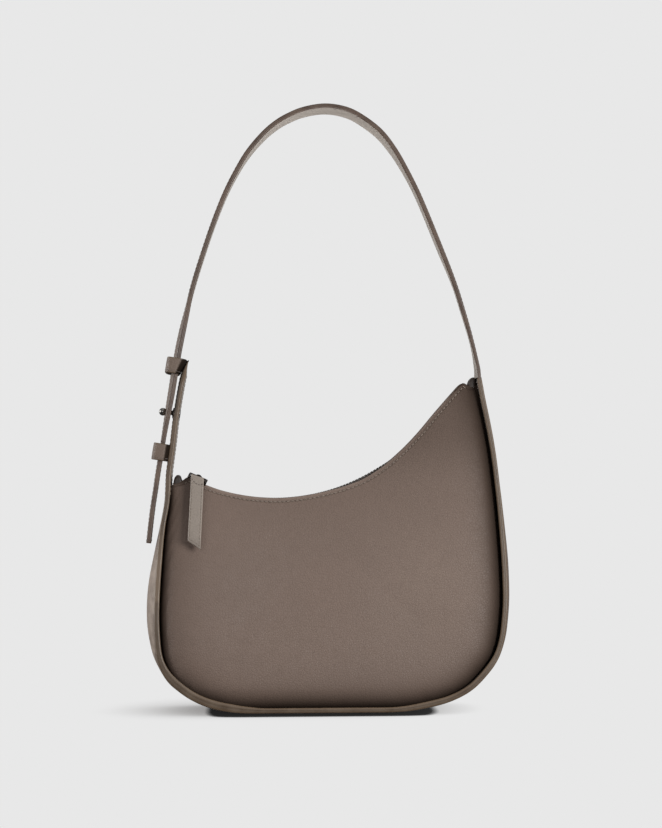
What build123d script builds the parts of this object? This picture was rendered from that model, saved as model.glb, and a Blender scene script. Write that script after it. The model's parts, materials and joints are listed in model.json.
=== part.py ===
from build123d import *
import math
import os

os.makedirs("parts", exist_ok=True)

# A half-moon leather shoulder bag. Millimetres, +Z up, +X to the right, the front faces -Y.
# The origin is on the ground, in the middle of the bag's depth, under the flat base.
# Plane.XZ faces -Y, so a positive offset from it lies towards the front.

# ---------------------------------------------------------------- driving dimensions
STRAP_HALF_W = 12.0
STRAP_OUT_T = 1.70
STRAP_IN_T = 1.60

BASE_HALF_DEPTH = 32.0              # half depth of the band at the base
CORNER_HALF_DEPTH = STRAP_HALF_W    # half depth of the band at both top corners
LAYER_OUT = 2.3                     # outer leather of the band
LAYER_IN = 2.15                     # inner leather of the band
GLUE = 0.05                         # glue line between two layers
BAND_T = LAYER_OUT + GLUE + LAYER_IN

PANEL_T = 1.8               # leather of the front and back panels
PANEL_GAP = 0.3             # seam gap between a panel's edge and the band
RECESS = 3.0                # how far a panel's edge sits inside the band's edge
PUFF = 16.0                 # how far the filled panel stands proud of the chord, rim to opening
EDGE_Y = 6.8                # half thickness of the bag over the two panels at the opening
BLEND_HALF_W = 30           # the left and right tapers blend within this distance of x = 0

LINING_T = 0.8
LINING_INSET = PANEL_T + 2.3        # panel's outer surface to the lining
LINING_TOP_DROP = 15.0              # row of teeth to the lining's top edge
BAND_LINING_GAP = 0.1
BAND_LINING_SETBACK = 9             # how much narrower the band's lining is on each side
FACING_INSET = PANEL_T + 0.35
FACING_T = 1.2
POCKET_INSET = LINING_INSET + LINING_T + 0.4
POCKET_T = 1.0

ZIP_C = (-39.4, 307.4)      # centre of the opening's arc, in X and Z
ZIP_R = 149.0               # radius of the row of teeth
ZIP_START = -23.4           # slider at rest, degrees from straight down, towards +X
ZIP_END = 57.0              # last tooth

HINGE_L = (-118.0, 177.0)   # the strap swings about the line through both top corners
HINGE_R = (115.8, 250.0)
CORNER_CLEAR = 16.3         # radius kept free round that line at each corner

SIDE_REACH = 220            # beyond the bag's half width
BAND_REACH = 40             # beyond the band's half depth
PANEL_REACH = 80            # beyond the filled panels

# ---------------------------------------------------------------- outlines, points are (x, z)
# outer face of the band, from the left corner down to the base
BAND_LEFT = [
    (-120.6, 178.0), (-120.8, 165.0), (-121.6, 155.0), (-123.7, 143.0), (-125.3, 129.0),
    (-126.3, 114.0), (-127.2, 99.0), (-127.8, 85.0), (-127.9, 70.5), (-127.0, 56.0),
    (-124.0, 41.5), (-117.6, 28.0), (-109.5, 18.3), (-99.5, 10.4), (-86.5, 4.4),
    (-72.0, 1.0), (-58.0, 0.0),
]
BAND_BASE = [(-40.0, 0.0), (-20.0, 0.0), (0.0, 0.0), (25.0, 0.0)]
# and from the base up to the right corner
BAND_RIGHT = [
    (45.0, 0.0), (60.0, 0.9), (75.4, 3.6), (90.2, 8.6), (103.5, 17.0), (113.3, 26.6),
    (124.3, 40.3), (130.3, 55.0), (133.2, 69.6), (134.3, 84.3), (134.3, 99.0),
    (133.9, 114.0), (133.1, 129.0), (132.2, 143.6), (131.1, 158.5), (129.7, 173.5),
    (127.8, 188.5), (125.5, 203.6), (122.7, 218.8), (119.9, 234.0), (117.7, 250.0),
]
# top edge of the front and back panels, from the left corner to the right
TOP_EDGE = [
    (-118.0, 176.5), (-111.0, 178.6), (-104.2, 176.4), (-97.5, 172.6), (-90.6, 169.4),
    (-81.6, 166.2), (-72.6, 163.8), (-63.6, 162.0), (-54.5, 160.7), (-43.0, 159.9),
    (-31.9, 159.9), (-18.4, 161.3), (-4.8, 163.8), (8.8, 167.6), (18.0, 171.0),
    (27.0, 175.1), (36.1, 180.5), (45.3, 187.0), (54.4, 194.7), (63.5, 203.6),
    (72.7, 213.7), (81.9, 224.2), (91.1, 234.4), (98.0, 241.6), (104.0, 247.0),
    (109.5, 250.8), (117.0, 254.0),
]
# outer face of the strap, from the sewn root at the right corner to the free end at the left
STRAP_LINE = [
    (117.6, 250.2), (116.2, 257.5), (114.4, 264.5), (112.2, 272.5), (108.5, 287.0),
    (104.3, 302.0), (99.5, 317.5), (93.8, 332.8), (87.7, 348.0), (81.6, 363.2),
    (75.6, 378.4), (69.2, 393.7), (62.0, 408.9), (53.2, 424.0), (42.5, 438.5),
    (31.0, 449.0), (17.0, 456.6), (-0.5, 459.5), (-18.0, 456.6), (-30.5, 451.3),
    (-39.5, 445.8), (-49.5, 437.0), (-61.1, 422.9), (-70.1, 407.5), (-77.6, 392.3),
    (-83.8, 377.0), (-89.3, 361.8), (-94.3, 346.6), (-99.1, 331.4), (-103.4, 316.3),
    (-107.2, 301.2), (-110.7, 286.1), (-113.8, 271.0), (-116.3, 256.0), (-118.6, 241.0),
    (-121.1, 226.0), (-123.5, 211.0), (-125.7, 196.0), (-127.8, 181.0), (-129.8, 167.0),
    (-131.6, 155.0), (-133.3, 141.0), (-134.8, 126.5),
]
STRAP_CROWN = 17            # index of the strap's highest point
# stud tab: outer and inner faces, from the corner up to the pointed end
TAB_OUTER = [
    (-120.5, 177.0), (-119.2, 190.0), (-117.6, 203.4), (-116.0, 215.0), (-114.5, 226.0),
    (-112.6, 238.0), (-110.4, 249.0), (-108.0, 257.5), (-105.2, 264.0),
]
TAB_INNER = [
    (-115.9, 177.0), (-114.6, 190.0), (-113.0, 203.4), (-111.3, 215.0), (-109.8, 226.0),
    (-108.0, 238.0), (-106.1, 249.0), (-104.6, 257.5), (-103.6, 264.0),
]

# (half depth of the band, height), on the left and on the right of the bag
TAPER_L = [
    (BASE_HALF_DEPTH, -5.0), (BASE_HALF_DEPTH, 20.0), (29.0, 60.0), (22.5, 110.0),
    (15.5, 150.0), (CORNER_HALF_DEPTH, 176.0), (CORNER_HALF_DEPTH, 300.0),
]
TAPER_R = [
    (BASE_HALF_DEPTH, -5.0), (BASE_HALF_DEPTH, 20.0), (29.0, 80.0), (22.0, 150.0),
    (15.0, 210.0), (CORNER_HALF_DEPTH, 249.0), (CORNER_HALF_DEPTH, 300.0),
]
SIDES = ((-SIDE_REACH, TAPER_L), (0, TAPER_R))      # (start in X, taper) of each half

# heights and X stations at which the filled panel is worked out
LEVELS = [2.0, 9.0, 17.0, 27.0, 40.0, 56.0, 75.0, 95.0, 115.0, 135.0, 155.0, 175.0, 195.0,
          215.0, 235.0, 254.0]
COLUMNS = [-124.0, -117.0, -110.0, -100.0, -85.0, -65.0, -45.0, -20.0, 5.0, 30.0, 55.0, 80.0,
           95.0, 105.0, 114.0, 122.0, 131.0]


# ---------------------------------------------------------------- lines in X and Z
def dense(points, steps=6):
    """Catmull-Rom refinement of a list of 2-D points."""
    out = []
    for i in range(len(points) - 1):
        p0 = points[max(i - 1, 0)]
        p1, p2 = points[i], points[i + 1]
        p3 = points[min(i + 2, len(points) - 1)]
        for k in range(steps):
            t = k / steps
            out.append(tuple(0.5 * (2 * p1[a] + (p2[a] - p0[a]) * t
                                    + (2 * p0[a] - 5 * p1[a] + 4 * p2[a] - p3[a]) * t * t
                                    + (3 * p1[a] - p0[a] - 3 * p2[a] + p3[a]) * t ** 3)
                             for a in (0, 1)))
    out.append(tuple(points[-1]))
    return out


def offset_line(points, distance):
    """The same line moved to its left, seen along its direction."""
    out = []
    for i, (x, z) in enumerate(points):
        before, after = points[max(i - 1, 0)], points[min(i + 1, len(points) - 1)]
        dx, dz = after[0] - before[0], after[1] - before[1]
        length = math.hypot(dx, dz)
        out.append((x - dz / length * distance, z + dx / length * distance))
    return out


def signed_distance(x, z, line):
    """Distance from a point to a polyline, positive on the left of the line."""
    best, side = 1e9, 1.0
    for (ax, az), (bx, bz) in zip(line, line[1:]):
        dx, dz = bx - ax, bz - az
        t = max(0.0, min(1.0, ((x - ax) * dx + (z - az) * dz) / (dx * dx + dz * dz)))
        distance = math.hypot(x - (ax + t * dx), z - (az + t * dz))
        if distance < best:
            best = distance
            side = 1.0 if dx * (z - az) - dz * (x - ax) >= 0 else -1.0
    return best * side


def half_depth(height, taper):
    """Half depth of the band at a height, from a taper table."""
    for (y0, z0), (y1, z1) in zip(taper, taper[1:]):
        if height <= z1:
            t = max(0.0, (height - z0) / (z1 - z0))
            return y0 + (y1 - y0) * t
    return taper[-1][0]


def on_arc(radius, angle):
    """Point about the opening's centre, angle from straight down towards +X."""
    a = math.radians(angle)
    return (ZIP_C[0] + radius * math.sin(a), ZIP_C[1] - radius * math.cos(a))


BAND_D = dense(BAND_LEFT + BAND_BASE + BAND_RIGHT)
TOP_D = dense(TOP_EDGE)
SEAM = offset_line(BAND_D, BAND_T + PANEL_GAP)      # rim of the front and back panels


# ---------------------------------------------------------------- flat profiles
def polygon(points):
    with BuildSketch() as profile:
        with BuildLine():
            Polyline(points, close=True)
        make_face()
    return profile.sketch


def lamina(outer, inner):
    """The profile between two lines."""
    with BuildSketch() as profile:
        with BuildLine():
            Spline(outer)
            Line(outer[-1], inner[-1])
            Spline(inner[::-1])
            Line(inner[0], outer[0])
        make_face()
    return profile.sketch


def arc_band(r0, r1, a0, a1):
    """A piece of ring about the opening's centre."""
    mid = (a0 + a1) / 2
    with BuildSketch() as ring:
        with BuildLine():
            ThreePointArc(on_arc(r0, a0), on_arc(r0, mid), on_arc(r0, a1))
            Line(on_arc(r0, a1), on_arc(r1, a1))
            ThreePointArc(on_arc(r1, a1), on_arc(r1, mid), on_arc(r1, a0))
            Line(on_arc(r1, a0), on_arc(r0, a0))
        make_face()
    return ring.sketch


def band_profile(depth, thickness):
    """One layer of the band, its outer side at a depth below the band's outer face."""
    left, right = dense(BAND_LEFT, 2), dense(BAND_RIGHT, 2)
    left_out, right_out = offset_line(left, depth), offset_line(right, depth)
    left_in = offset_line(left, depth + thickness)
    right_in = offset_line(right, depth + thickness)
    with BuildSketch() as profile:
        with BuildLine():
            Spline(left_out, tangents=((0, -1), (1, 0)))
            Line(left_out[-1], right_out[0])
            Spline(right_out, tangents=((1, 0), (-0.14, 1)))
            Line(right_out[-1], right_in[-1])
            Spline(right_in[::-1], tangents=((0.14, -1), (-1, 0)))
            Line(right_in[0], left_in[-1])
            Spline(left_in[::-1], tangents=((-1, 0), (0, 1)))
            Line(left_in[0], left_out[0])
        make_face()
    return profile.sketch


# ---------------------------------------------------------------- general solids
def sheet(profile, half_width, keep=None, cut=None):
    """A front-view profile extruded to both sides, then trimmed."""
    with BuildPart() as piece:
        with BuildSketch(Plane.XZ):
            add(profile)
        extrude(amount=half_width, both=True)
        if keep is not None:
            add(keep, mode=Mode.INTERSECT)
        if cut is not None:
            add(cut, mode=Mode.SUBTRACT)
    return piece.part


def blocks(profile, starts, depth):
    """A front-view profile extruded forwards from each start, given as an XZ plane offset."""
    with BuildPart() as piece:
        for start in starts:
            with BuildSketch(Plane.XZ.offset(start)):
                add(profile)
            extrude(amount=depth)
    return piece.part


def discs(plane, rows):
    """Coaxial discs along a plane's normal, rows of (start, radius, length)."""
    with BuildPart() as stack:
        for start, radius, length in rows:
            with BuildSketch(plane.offset(start)):
                Circle(radius)
            extrude(amount=length)
    return stack.part


def mirrored(part):
    """The same piece on the other side, front to back."""
    with BuildPart() as twin:
        mirror(part, about=Plane.XZ)
    return twin.part


# ---------------------------------------------------------------- helper solids
def band_envelope():
    """Space the band may fill: the side view tapers from the base to the corners."""
    with BuildPart() as space:
        for x_start, taper in SIDES:
            with BuildSketch(Plane.YZ.offset(x_start)):
                with BuildLine():
                    Spline(taper[1:6])
                    Polyline([taper[5], taper[6], (0, taper[6][1]), (0, taper[0][1]),
                              taper[0], taper[1]])
                make_face()
                mirror(about=Plane.YZ)
            extrude(amount=SIDE_REACH)
    return space.part


def lining_envelope():
    """A narrower, lower space for the lining of the band."""
    top_half_depth = 4.5
    # extra setback of the first four taper stations
    extras = (0, 0, 0, 0.5)
    with BuildPart() as space:
        for x_start, taper in SIDES:
            edge = [(y - BAND_LINING_SETBACK - extra, z) for (y, z), extra in zip(taper, extras)]
            top = taper[4][1]
            with BuildSketch(Plane.YZ.offset(x_start)):
                with BuildLine():
                    Polyline([(0, taper[0][1])] + edge + [(top_half_depth, top), (0, top)],
                             close=True)
                make_face()
                mirror(about=Plane.YZ)
            extrude(amount=SIDE_REACH)
    return space.part


def corner_clearance():
    """Free space round the strap's swing line at the two corners."""
    swing = Vector(HINGE_R[0] - HINGE_L[0], 0, HINGE_R[1] - HINGE_L[1]).normalized()
    with BuildPart() as space:
        for (x, z), start, length in ((HINGE_L, -9, 17.5), (HINGE_R, -3.6, 10)):
            corner = Plane(origin=(x, 0, z), x_dir=(0, 1, 0), z_dir=swing)
            with BuildSketch(corner.offset(start)):
                Circle(CORNER_CLEAR)
            extrude(amount=length)
    return space.part


CORNER_SPACE = corner_clearance()


# ---------------------------------------------------------------- the band (gusset)
def band_pieces():
    envelope = band_envelope()
    outer = band_profile(0, LAYER_OUT)
    inner = band_profile(LAYER_OUT + GLUE, LAYER_IN)
    lining = band_profile(BAND_T + BAND_LINING_GAP, LINING_T)
    return {
        "gusset_outer": sheet(outer, BAND_REACH, keep=envelope, cut=CORNER_SPACE),
        "gusset_inner": sheet(inner, BAND_REACH, keep=envelope, cut=CORNER_SPACE),
        "gusset_lining": sheet(lining, BAND_REACH, keep=lining_envelope()),
    }


# ---------------------------------------------------------------- panels and what follows them
def panel_y(x, z):
    """Half thickness of the filled bag at a point of its front view."""
    from_rim = signed_distance(x, z, SEAM[::2])
    from_top = -signed_distance(x, z, TOP_D[::2])
    rim_weight = max(from_rim, 0.0) + 0.5
    top_weight = max(from_top, 0.0) + 0.5
    share = top_weight / (top_weight + rim_weight)
    seam = half_depth(z, TAPER_L if x < 0 else TAPER_R) - RECESS
    if abs(x) < BLEND_HALF_W:
        mix = (x + BLEND_HALF_W) / (2 * BLEND_HALF_W)
        seam = (1 - mix) * half_depth(z, TAPER_L) + mix * half_depth(z, TAPER_R) - RECESS
    chord = EDGE_Y + (seam - EDGE_Y) * share
    rise_from_rim = 1 - math.exp(-max(from_rim, -7.0) / 10)
    rise_from_top = 1 - math.exp(-max(from_top, -9.0) / 45)
    return chord + PUFF * rise_from_rim * rise_from_top


def front_layer(outline, inset, thickness, cut=None):
    """A front-side layer, inset behind the panel's outer surface, within a front-view outline."""
    with BuildPart() as layer:
        for level in LEVELS:
            outside = [(x, -panel_y(x, level) + inset) for x in COLUMNS]
            inside = [(x, y + thickness) for x, y in outside]
            with BuildSketch(Plane.XY.offset(level)):
                add(lamina(outside, inside))
        loft()
        with BuildSketch(Plane.XZ):
            add(outline)
        extrude(amount=PANEL_REACH, both=True, mode=Mode.INTERSECT)
        if cut is not None:
            add(cut, mode=Mode.SUBTRACT)
    return layer.part


def panel_outline():
    """Closed outline of a panel, between its rim and its top edge."""
    min_step = 0.9
    rim = [p for p in SEAM if signed_distance(p[0], p[1], TOP_D) < 0]
    top = [p for p in TOP_D if signed_distance(p[0], p[1], rim) > 0]
    loop = rim[::3] + top[::-3]
    clean = [loop[0]]
    for point in loop[1:]:
        if math.dist(point, clean[-1]) > min_step and math.dist(point, clean[0]) > min_step:
            clean.append(point)
    return polygon(clean)


def lining_outline():
    """Outline of the lining, its top edge an arc about the opening's centre."""
    radius = ZIP_R + LINING_TOP_DROP
    steps = 40
    rim = [p for p in offset_line(BAND_D, BAND_T + 2.2) if math.dist(p, ZIP_C) > radius][::3]
    right, left = [math.atan2(x - ZIP_C[0], ZIP_C[1] - z) for x, z in (rim[-1], rim[0])]
    angles = [right + (left - right) * k / steps for k in range(1, steps)]
    return polygon(rim + [(ZIP_C[0] + radius * math.sin(a), ZIP_C[1] - radius * math.cos(a))
                          for a in angles])


def panel_pieces():
    panel = front_layer(panel_outline(), 0.0, PANEL_T, cut=CORNER_SPACE)
    lining = front_layer(lining_outline(), LINING_INSET, LINING_T)
    # leather facing along the inside of each side of the opening
    facing = front_layer(arc_band(ZIP_R + 3.4, ZIP_R + 14.0, -23.0, 60.0),
                         FACING_INSET, FACING_T)
    # the pocket lies at the back and is shaped as its front twin
    pocket_outline = polygon([(-66, 52), (54, 52), (54, 122), (-66, 122)])
    pocket = front_layer(pocket_outline, POCKET_INSET, POCKET_T)
    return {
        "front_panel": panel,
        "back_panel": mirrored(panel),
        "front_lining": lining,
        "back_lining": mirrored(lining),
        "front_edge_facing": facing,
        "back_edge_facing": mirrored(facing),
        "slip_pocket": mirrored(pocket),
    }


# ---------------------------------------------------------------- the zip
TAPE_IN, TAPE_OUT, TAPE_T = 1.4, 4.75, 0.7      # tape edges from the middle, and thickness
TOOTH_PITCH = 2.6
TOOTH_L, TOOTH_H = 1.25, 1.3
TOOTH_W = 2.2               # size across the bag's depth, also of the paired stops
TOOTH_GAP = 0.5             # middle to each row of teeth
STOP_GAP = 0.6              # middle to each stop of the pair
BOTTOM_STOP_W = 5.2
END_TAB_HALF_W = 4.6


def teeth_row(first):
    """Front view of one row of teeth, from the angle of its first tooth."""
    step = math.degrees(TOOTH_PITCH / ZIP_R)
    count = int((ZIP_END - ZIP_START - 1.0) / step)
    places = []
    for i in range(count):
        angle = first + i * step
        x, z = on_arc(ZIP_R - 0.75, angle)
        places.append(Location((x, z, 0), (0, 0, angle)))
    with BuildSketch() as row:
        with Locations(*places):
            Rectangle(TOOTH_L, TOOTH_H)
    return row.sketch


def zip_pieces():
    tape = blocks(arc_band(ZIP_R, ZIP_R + TAPE_T, ZIP_START - 3.0, ZIP_END + 1.5),
                  [TAPE_IN], TAPE_OUT - TAPE_IN)
    first = ZIP_START + 1.2
    half_step = math.degrees(TOOTH_PITCH / ZIP_R) / 2       # the back row is staggered
    top_stops = arc_band(ZIP_R - 1.3, ZIP_R - 0.1, ZIP_START - 2.9, ZIP_START - 2.1)
    bottom_stop = arc_band(ZIP_R - 1.5, ZIP_R - 0.1, ZIP_END + 0.2, ZIP_END + 1.1)
    # leather tabs over the two ends of the zip
    tab_left = arc_band(ZIP_R - 2.6, ZIP_R + 1.6, ZIP_START - 4.9, ZIP_START - 3.1)
    tab_right = arc_band(ZIP_R - 0.6, ZIP_R + 3.6, ZIP_END + 1.8, ZIP_END + 4.6)
    return {
        "front_zip_tape": tape,
        "back_zip_tape": mirrored(tape),
        "front_zip_teeth": blocks(teeth_row(first), [TOOTH_GAP], TOOTH_W),
        "back_zip_teeth": blocks(teeth_row(first + half_step), [-TOOTH_GAP - TOOTH_W], TOOTH_W),
        "zip_top_stops": blocks(top_stops, [STOP_GAP, -STOP_GAP - TOOTH_W], TOOTH_W),
        "zip_bottom_stop": blocks(bottom_stop, [-BOTTOM_STOP_W / 2], BOTTOM_STOP_W),
        "zip_end_tab_left": sheet(tab_left, END_TAB_HALF_W),
        "zip_end_tab_right": sheet(tab_right, END_TAB_HALF_W),
    }


# ---------------------------------------------------------------- slider, ring and pull tab
WIRE_R = 0.8
RING_H = 5.6                # height of the ring's pivot above the row of teeth
RING_HALF = 6.7             # half the ring's length along the zip
RING_OUT = 13.5             # reach of the ring in front of the zip
BRIDGE_W = 2.6
BRIDGE = [(-3.4, 2.9), (3.4, 2.9), (3.4, 5.4), (2.2, 7.2), (-2.2, 7.2), (-3.4, 5.4)]
PULL_W, PULL_L, PULL_T = 9.7, 49.0, 3.4
PULL_ABOVE = 1.9            # pull tab above the ring's front bar
PULL_LEAN = 16.0            # degrees off vertical, lower end outwards

FORWARD = Vector(0, -1, 0)
slider_angle = math.radians(ZIP_START)
slider_x, slider_z = on_arc(ZIP_R, ZIP_START)
# on the row of teeth, X along the zip, normal towards the opening's centre
SLIDER_PLANE = Plane(origin=(slider_x, 0, slider_z),
                     x_dir=(math.cos(slider_angle), 0, math.sin(slider_angle)),
                     z_dir=(-math.sin(slider_angle), 0, math.cos(slider_angle)))
ALONG = SLIDER_PLANE.x_dir
RING_PIVOT = SLIDER_PLANE.origin + SLIDER_PLANE.z_dir * RING_H


def zip_slider():
    """An upper and a lower wing, the post between them and a bridge on top for the ring."""
    bridge_plane = Plane(origin=SLIDER_PLANE.origin, x_dir=ALONG, z_dir=(0, -1, 0))
    wire_plane = Plane(origin=RING_PIVOT, x_dir=(0, 1, 0), z_dir=ALONG)
    with BuildPart() as slider:
        with BuildSketch(SLIDER_PLANE.offset(1.75)):
            RectangleRounded(9.6, 8.2, 2.0)
        extrude(amount=1.25)
        with BuildSketch(SLIDER_PLANE.offset(-2.4)):
            RectangleRounded(8.6, 7.2, 1.8)
        extrude(amount=1.2)
        with BuildSketch(SLIDER_PLANE.offset(-1.6)):
            Rectangle(3.4, 0.7)
        extrude(amount=3.8)
        with BuildSketch(bridge_plane.offset(-BRIDGE_W / 2)):
            with BuildLine():
                Polyline(BRIDGE, close=True)
            make_face()
        extrude(amount=BRIDGE_W)
        # hole along the zip for the wire
        with BuildSketch(wire_plane.offset(-6)):
            Circle(WIRE_R + 0.06)
        extrude(amount=12, mode=Mode.SUBTRACT)
    return slider.part


def pull_ring():
    """Closed rectangular wire loop through the bridge and the pull tab."""
    back_left = RING_PIVOT - ALONG * RING_HALF
    back_right = RING_PIVOT + ALONG * RING_HALF
    front_right = back_right + FORWARD * RING_OUT
    front_left = back_left + FORWARD * RING_OUT
    bars = ((back_left, ALONG, 2 * RING_HALF), (front_left, ALONG, 2 * RING_HALF),
            (back_left, FORWARD, RING_OUT), (back_right, FORWARD, RING_OUT))
    with BuildPart() as ring:
        for start, direction, length in bars:
            with BuildSketch(Plane(origin=start, z_dir=direction)):
                Circle(WIRE_R)
            extrude(amount=length)
        with Locations(Location(back_left), Location(back_right),
                       Location(front_right), Location(front_left)):
            Sphere(WIRE_R)
    return ring.part


def pull_tab():
    """Leather tab on the ring's front bar, its ends slanted parallel to the bar."""
    bar = RING_PIVOT + FORWARD * RING_OUT
    lean = math.radians(PULL_LEAN)
    down = Vector(-0.05, -math.sin(lean), -math.cos(lean)).normalized()
    slope = ALONG.dot(down)
    normal = (ALONG - down * slope).normalized().cross(down)
    # local X runs down the tab, local Y towards the bag's left
    tab_plane = Plane(origin=bar, x_dir=down, z_dir=normal)
    half_w = PULL_W / 2
    slant = slope / math.sqrt(1 - slope * slope) * half_w
    with BuildPart() as tab:
        with BuildSketch(tab_plane.offset(-PULL_T / 2)):
            with BuildLine():
                Polyline([(-PULL_ABOVE - slant, half_w), (PULL_L - slant, half_w),
                          (PULL_L + slant, -half_w), (-PULL_ABOVE + slant, -half_w)],
                         close=True)
            make_face()
        extrude(amount=PULL_T)
        with BuildSketch(Plane(origin=bar, x_dir=(0, 1, 0), z_dir=ALONG).offset(-12)):
            Circle(WIRE_R + 0.06)
        extrude(amount=24, mode=Mode.SUBTRACT)
    return tab.part


# ---------------------------------------------------------------- strap
STUD_Z = 224.8
# (height, radius) of the holes down the strap's left leg; the first fits over the stud
STRAP_HOLES = [(STUD_Z + 0.7, 2.5), (STUD_Z + 62, 1.9), (STUD_Z + 87, 1.9),
               (STUD_Z - 50, 1.9), (STUD_Z - 75, 1.9)]


def strap_frame(z):
    """Point and downward direction of the strap's line on its left leg at height z."""
    leg = STRAP_LINE[STRAP_CROWN:]
    for upper, lower in zip(leg, leg[1:]):
        if lower[1] <= z <= upper[1]:
            dx, dz = lower[0] - upper[0], lower[1] - upper[1]
            t = (z - upper[1]) / dz
            return Vector(upper[0] + t * dx, 0, z), Vector(dx, 0, dz).normalized()


def strap_holes():
    with BuildPart() as holes:
        for height, radius in STRAP_HOLES:
            point, down = strap_frame(height)
            inward = Vector(-down.Z, 0, down.X)
            with BuildSketch(Plane(origin=point, x_dir=(0, 1, 0), z_dir=inward).offset(-6)):
                Circle(radius)
            extrude(amount=12)
    return holes.part


def strap_pieces():
    holes = strap_holes()
    outer_back = offset_line(STRAP_LINE, STRAP_OUT_T)
    lining_front = offset_line(STRAP_LINE, STRAP_OUT_T + GLUE)
    lining_back = offset_line(STRAP_LINE, STRAP_OUT_T + GLUE + STRAP_IN_T)
    return {
        "strap_outer": sheet(lamina(STRAP_LINE, outer_back), STRAP_HALF_W, cut=holes),
        "strap_lining": sheet(lamina(lining_front, lining_back), STRAP_HALF_W, cut=holes),
    }


# ---------------------------------------------------------------- stud tab and stud
TAB_OUT_T = 2.4
TAB_IN_T = 2.2
# right half of the tab's pointed upper end, seen along X: (y, z)
TAB_POINT = [(STRAP_HALF_W, 170), (STRAP_HALF_W, 244), (9.5, 252), (5.5, 259), (1.5, 263.6)]
STUD_AXIS = Vector(-0.985, 0, 0.172)        # outwards along the stud
# where the stud meets the tab's outer face
STUD_PLANE = Plane(origin=Vector(-114.65, 0, STUD_Z - 0.4), x_dir=(0, 1, 0), z_dir=STUD_AXIS)


def tab_point():
    """Space within the pointed outline of the stud tab."""
    with BuildPart() as space:
        with BuildSketch(Plane.YZ.offset(-140)):
            with BuildLine():
                Polyline(TAB_POINT + [(-y, z) for y, z in TAB_POINT[::-1]], close=True)
            make_face()
        extrude(amount=60)
    return space.part


def stud_tab_pieces():
    """Two layers that continue the band above the left corner."""
    point = tab_point()
    hole = discs(STUD_PLANE, [(-9, 1.6, 12)])
    outer_share = TAB_OUT_T / (TAB_OUT_T + TAB_IN_T)
    middle = [(a[0] + (b[0] - a[0]) * outer_share, a[1]) for a, b in zip(TAB_OUTER, TAB_INNER)]
    glued = [(x + GLUE, z) for x, z in middle]
    return {
        "stud_tab_outer": sheet(lamina(TAB_OUTER, middle), STRAP_HALF_W, keep=point, cut=hole),
        "stud_tab_lining": sheet(lamina(glued, TAB_INNER), STRAP_HALF_W, keep=point, cut=hole),
    }


def stud_head():
    """Ball stud: base washer, neck and ball, bored from behind for the screw."""
    with BuildPart() as head:
        for start, radius, length in ((0.25, 4.0, 1.3), (1.55, 1.75, 5.6)):
            with BuildSketch(STUD_PLANE.offset(start)):
                Circle(radius)
            extrude(amount=length)
        with Locations(Location(STUD_PLANE.origin + STUD_AXIS * 8.9)):
            Sphere(2.95)
        with BuildSketch(STUD_PLANE):
            Circle(1.25)
        extrude(amount=6.0, mode=Mode.SUBTRACT)
    return head.part


def stud_screw():
    """Slotted head, shank through the tab and a thinner end inside the stud."""
    with BuildPart() as screw:
        for start, radius, length in ((-6.35, 3.6, 1.2), (-5.2, 1.5, 5.2), (0.0, 1.2, 5.4)):
            with BuildSketch(STUD_PLANE.offset(start)):
                Circle(radius)
            extrude(amount=length)
        with BuildSketch(STUD_PLANE.offset(-6.4)):
            Rectangle(5.0, 0.8)
        extrude(amount=0.6, mode=Mode.SUBTRACT)
    return screw.part


# ---------------------------------------------------------------- keepers
KEEPER_H = 14.0
KEEPER_T = 1.7
KEEPER_INSIDE_W = 2 * (STRAP_HALF_W + 1.6)


def keeper(height, inside, shift):
    """Loose leather loop round the strap and the tab, shifted away from the tab by `shift`."""
    point, down = strap_frame(height)
    across = Plane(origin=point, x_dir=Vector(down.Z, 0, -down.X), z_dir=down)
    with BuildPart() as loop:
        with BuildSketch(across.offset(-KEEPER_H / 2)):
            with Locations((shift, 0)):
                RectangleRounded(inside + 2 * KEEPER_T, KEEPER_INSIDE_W + 2 * KEEPER_T, 2.4)
                RectangleRounded(inside, KEEPER_INSIDE_W, 1.0, mode=Mode.SUBTRACT)
        extrude(amount=KEEPER_H)
    return loop.part


# ---------------------------------------------------------------- base board
def base_board():
    """Board lying on the band's lining."""
    with BuildPart() as board:
        with BuildSketch(Plane.XY.offset(BAND_T + BAND_LINING_GAP + LINING_T + 0.2)):
            with Locations((-6, 0)):
                RectangleRounded(112, 42, 6)
        extrude(amount=1.8)
    return board.part


# ---------------------------------------------------------------- labels and export
pieces = {
    **band_pieces(),
    **panel_pieces(),
    **zip_pieces(),
    "zip_slider": zip_slider(),
    "pull_ring": pull_ring(),
    "pull_tab": pull_tab(),
    **strap_pieces(),
    **stud_tab_pieces(),
    "stud_head": stud_head(),
    "stud_screw": stud_screw(),
    "keeper_upper": keeper(height=258.0, inside=9.6, shift=-0.1),
    "keeper_lower": keeper(height=193.6, inside=8.2, shift=-1.1),
    "base_board": base_board(),
}
for name, part in pieces.items():
    part.label = name
    export_step(part, f"parts/{name}.step")
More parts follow.
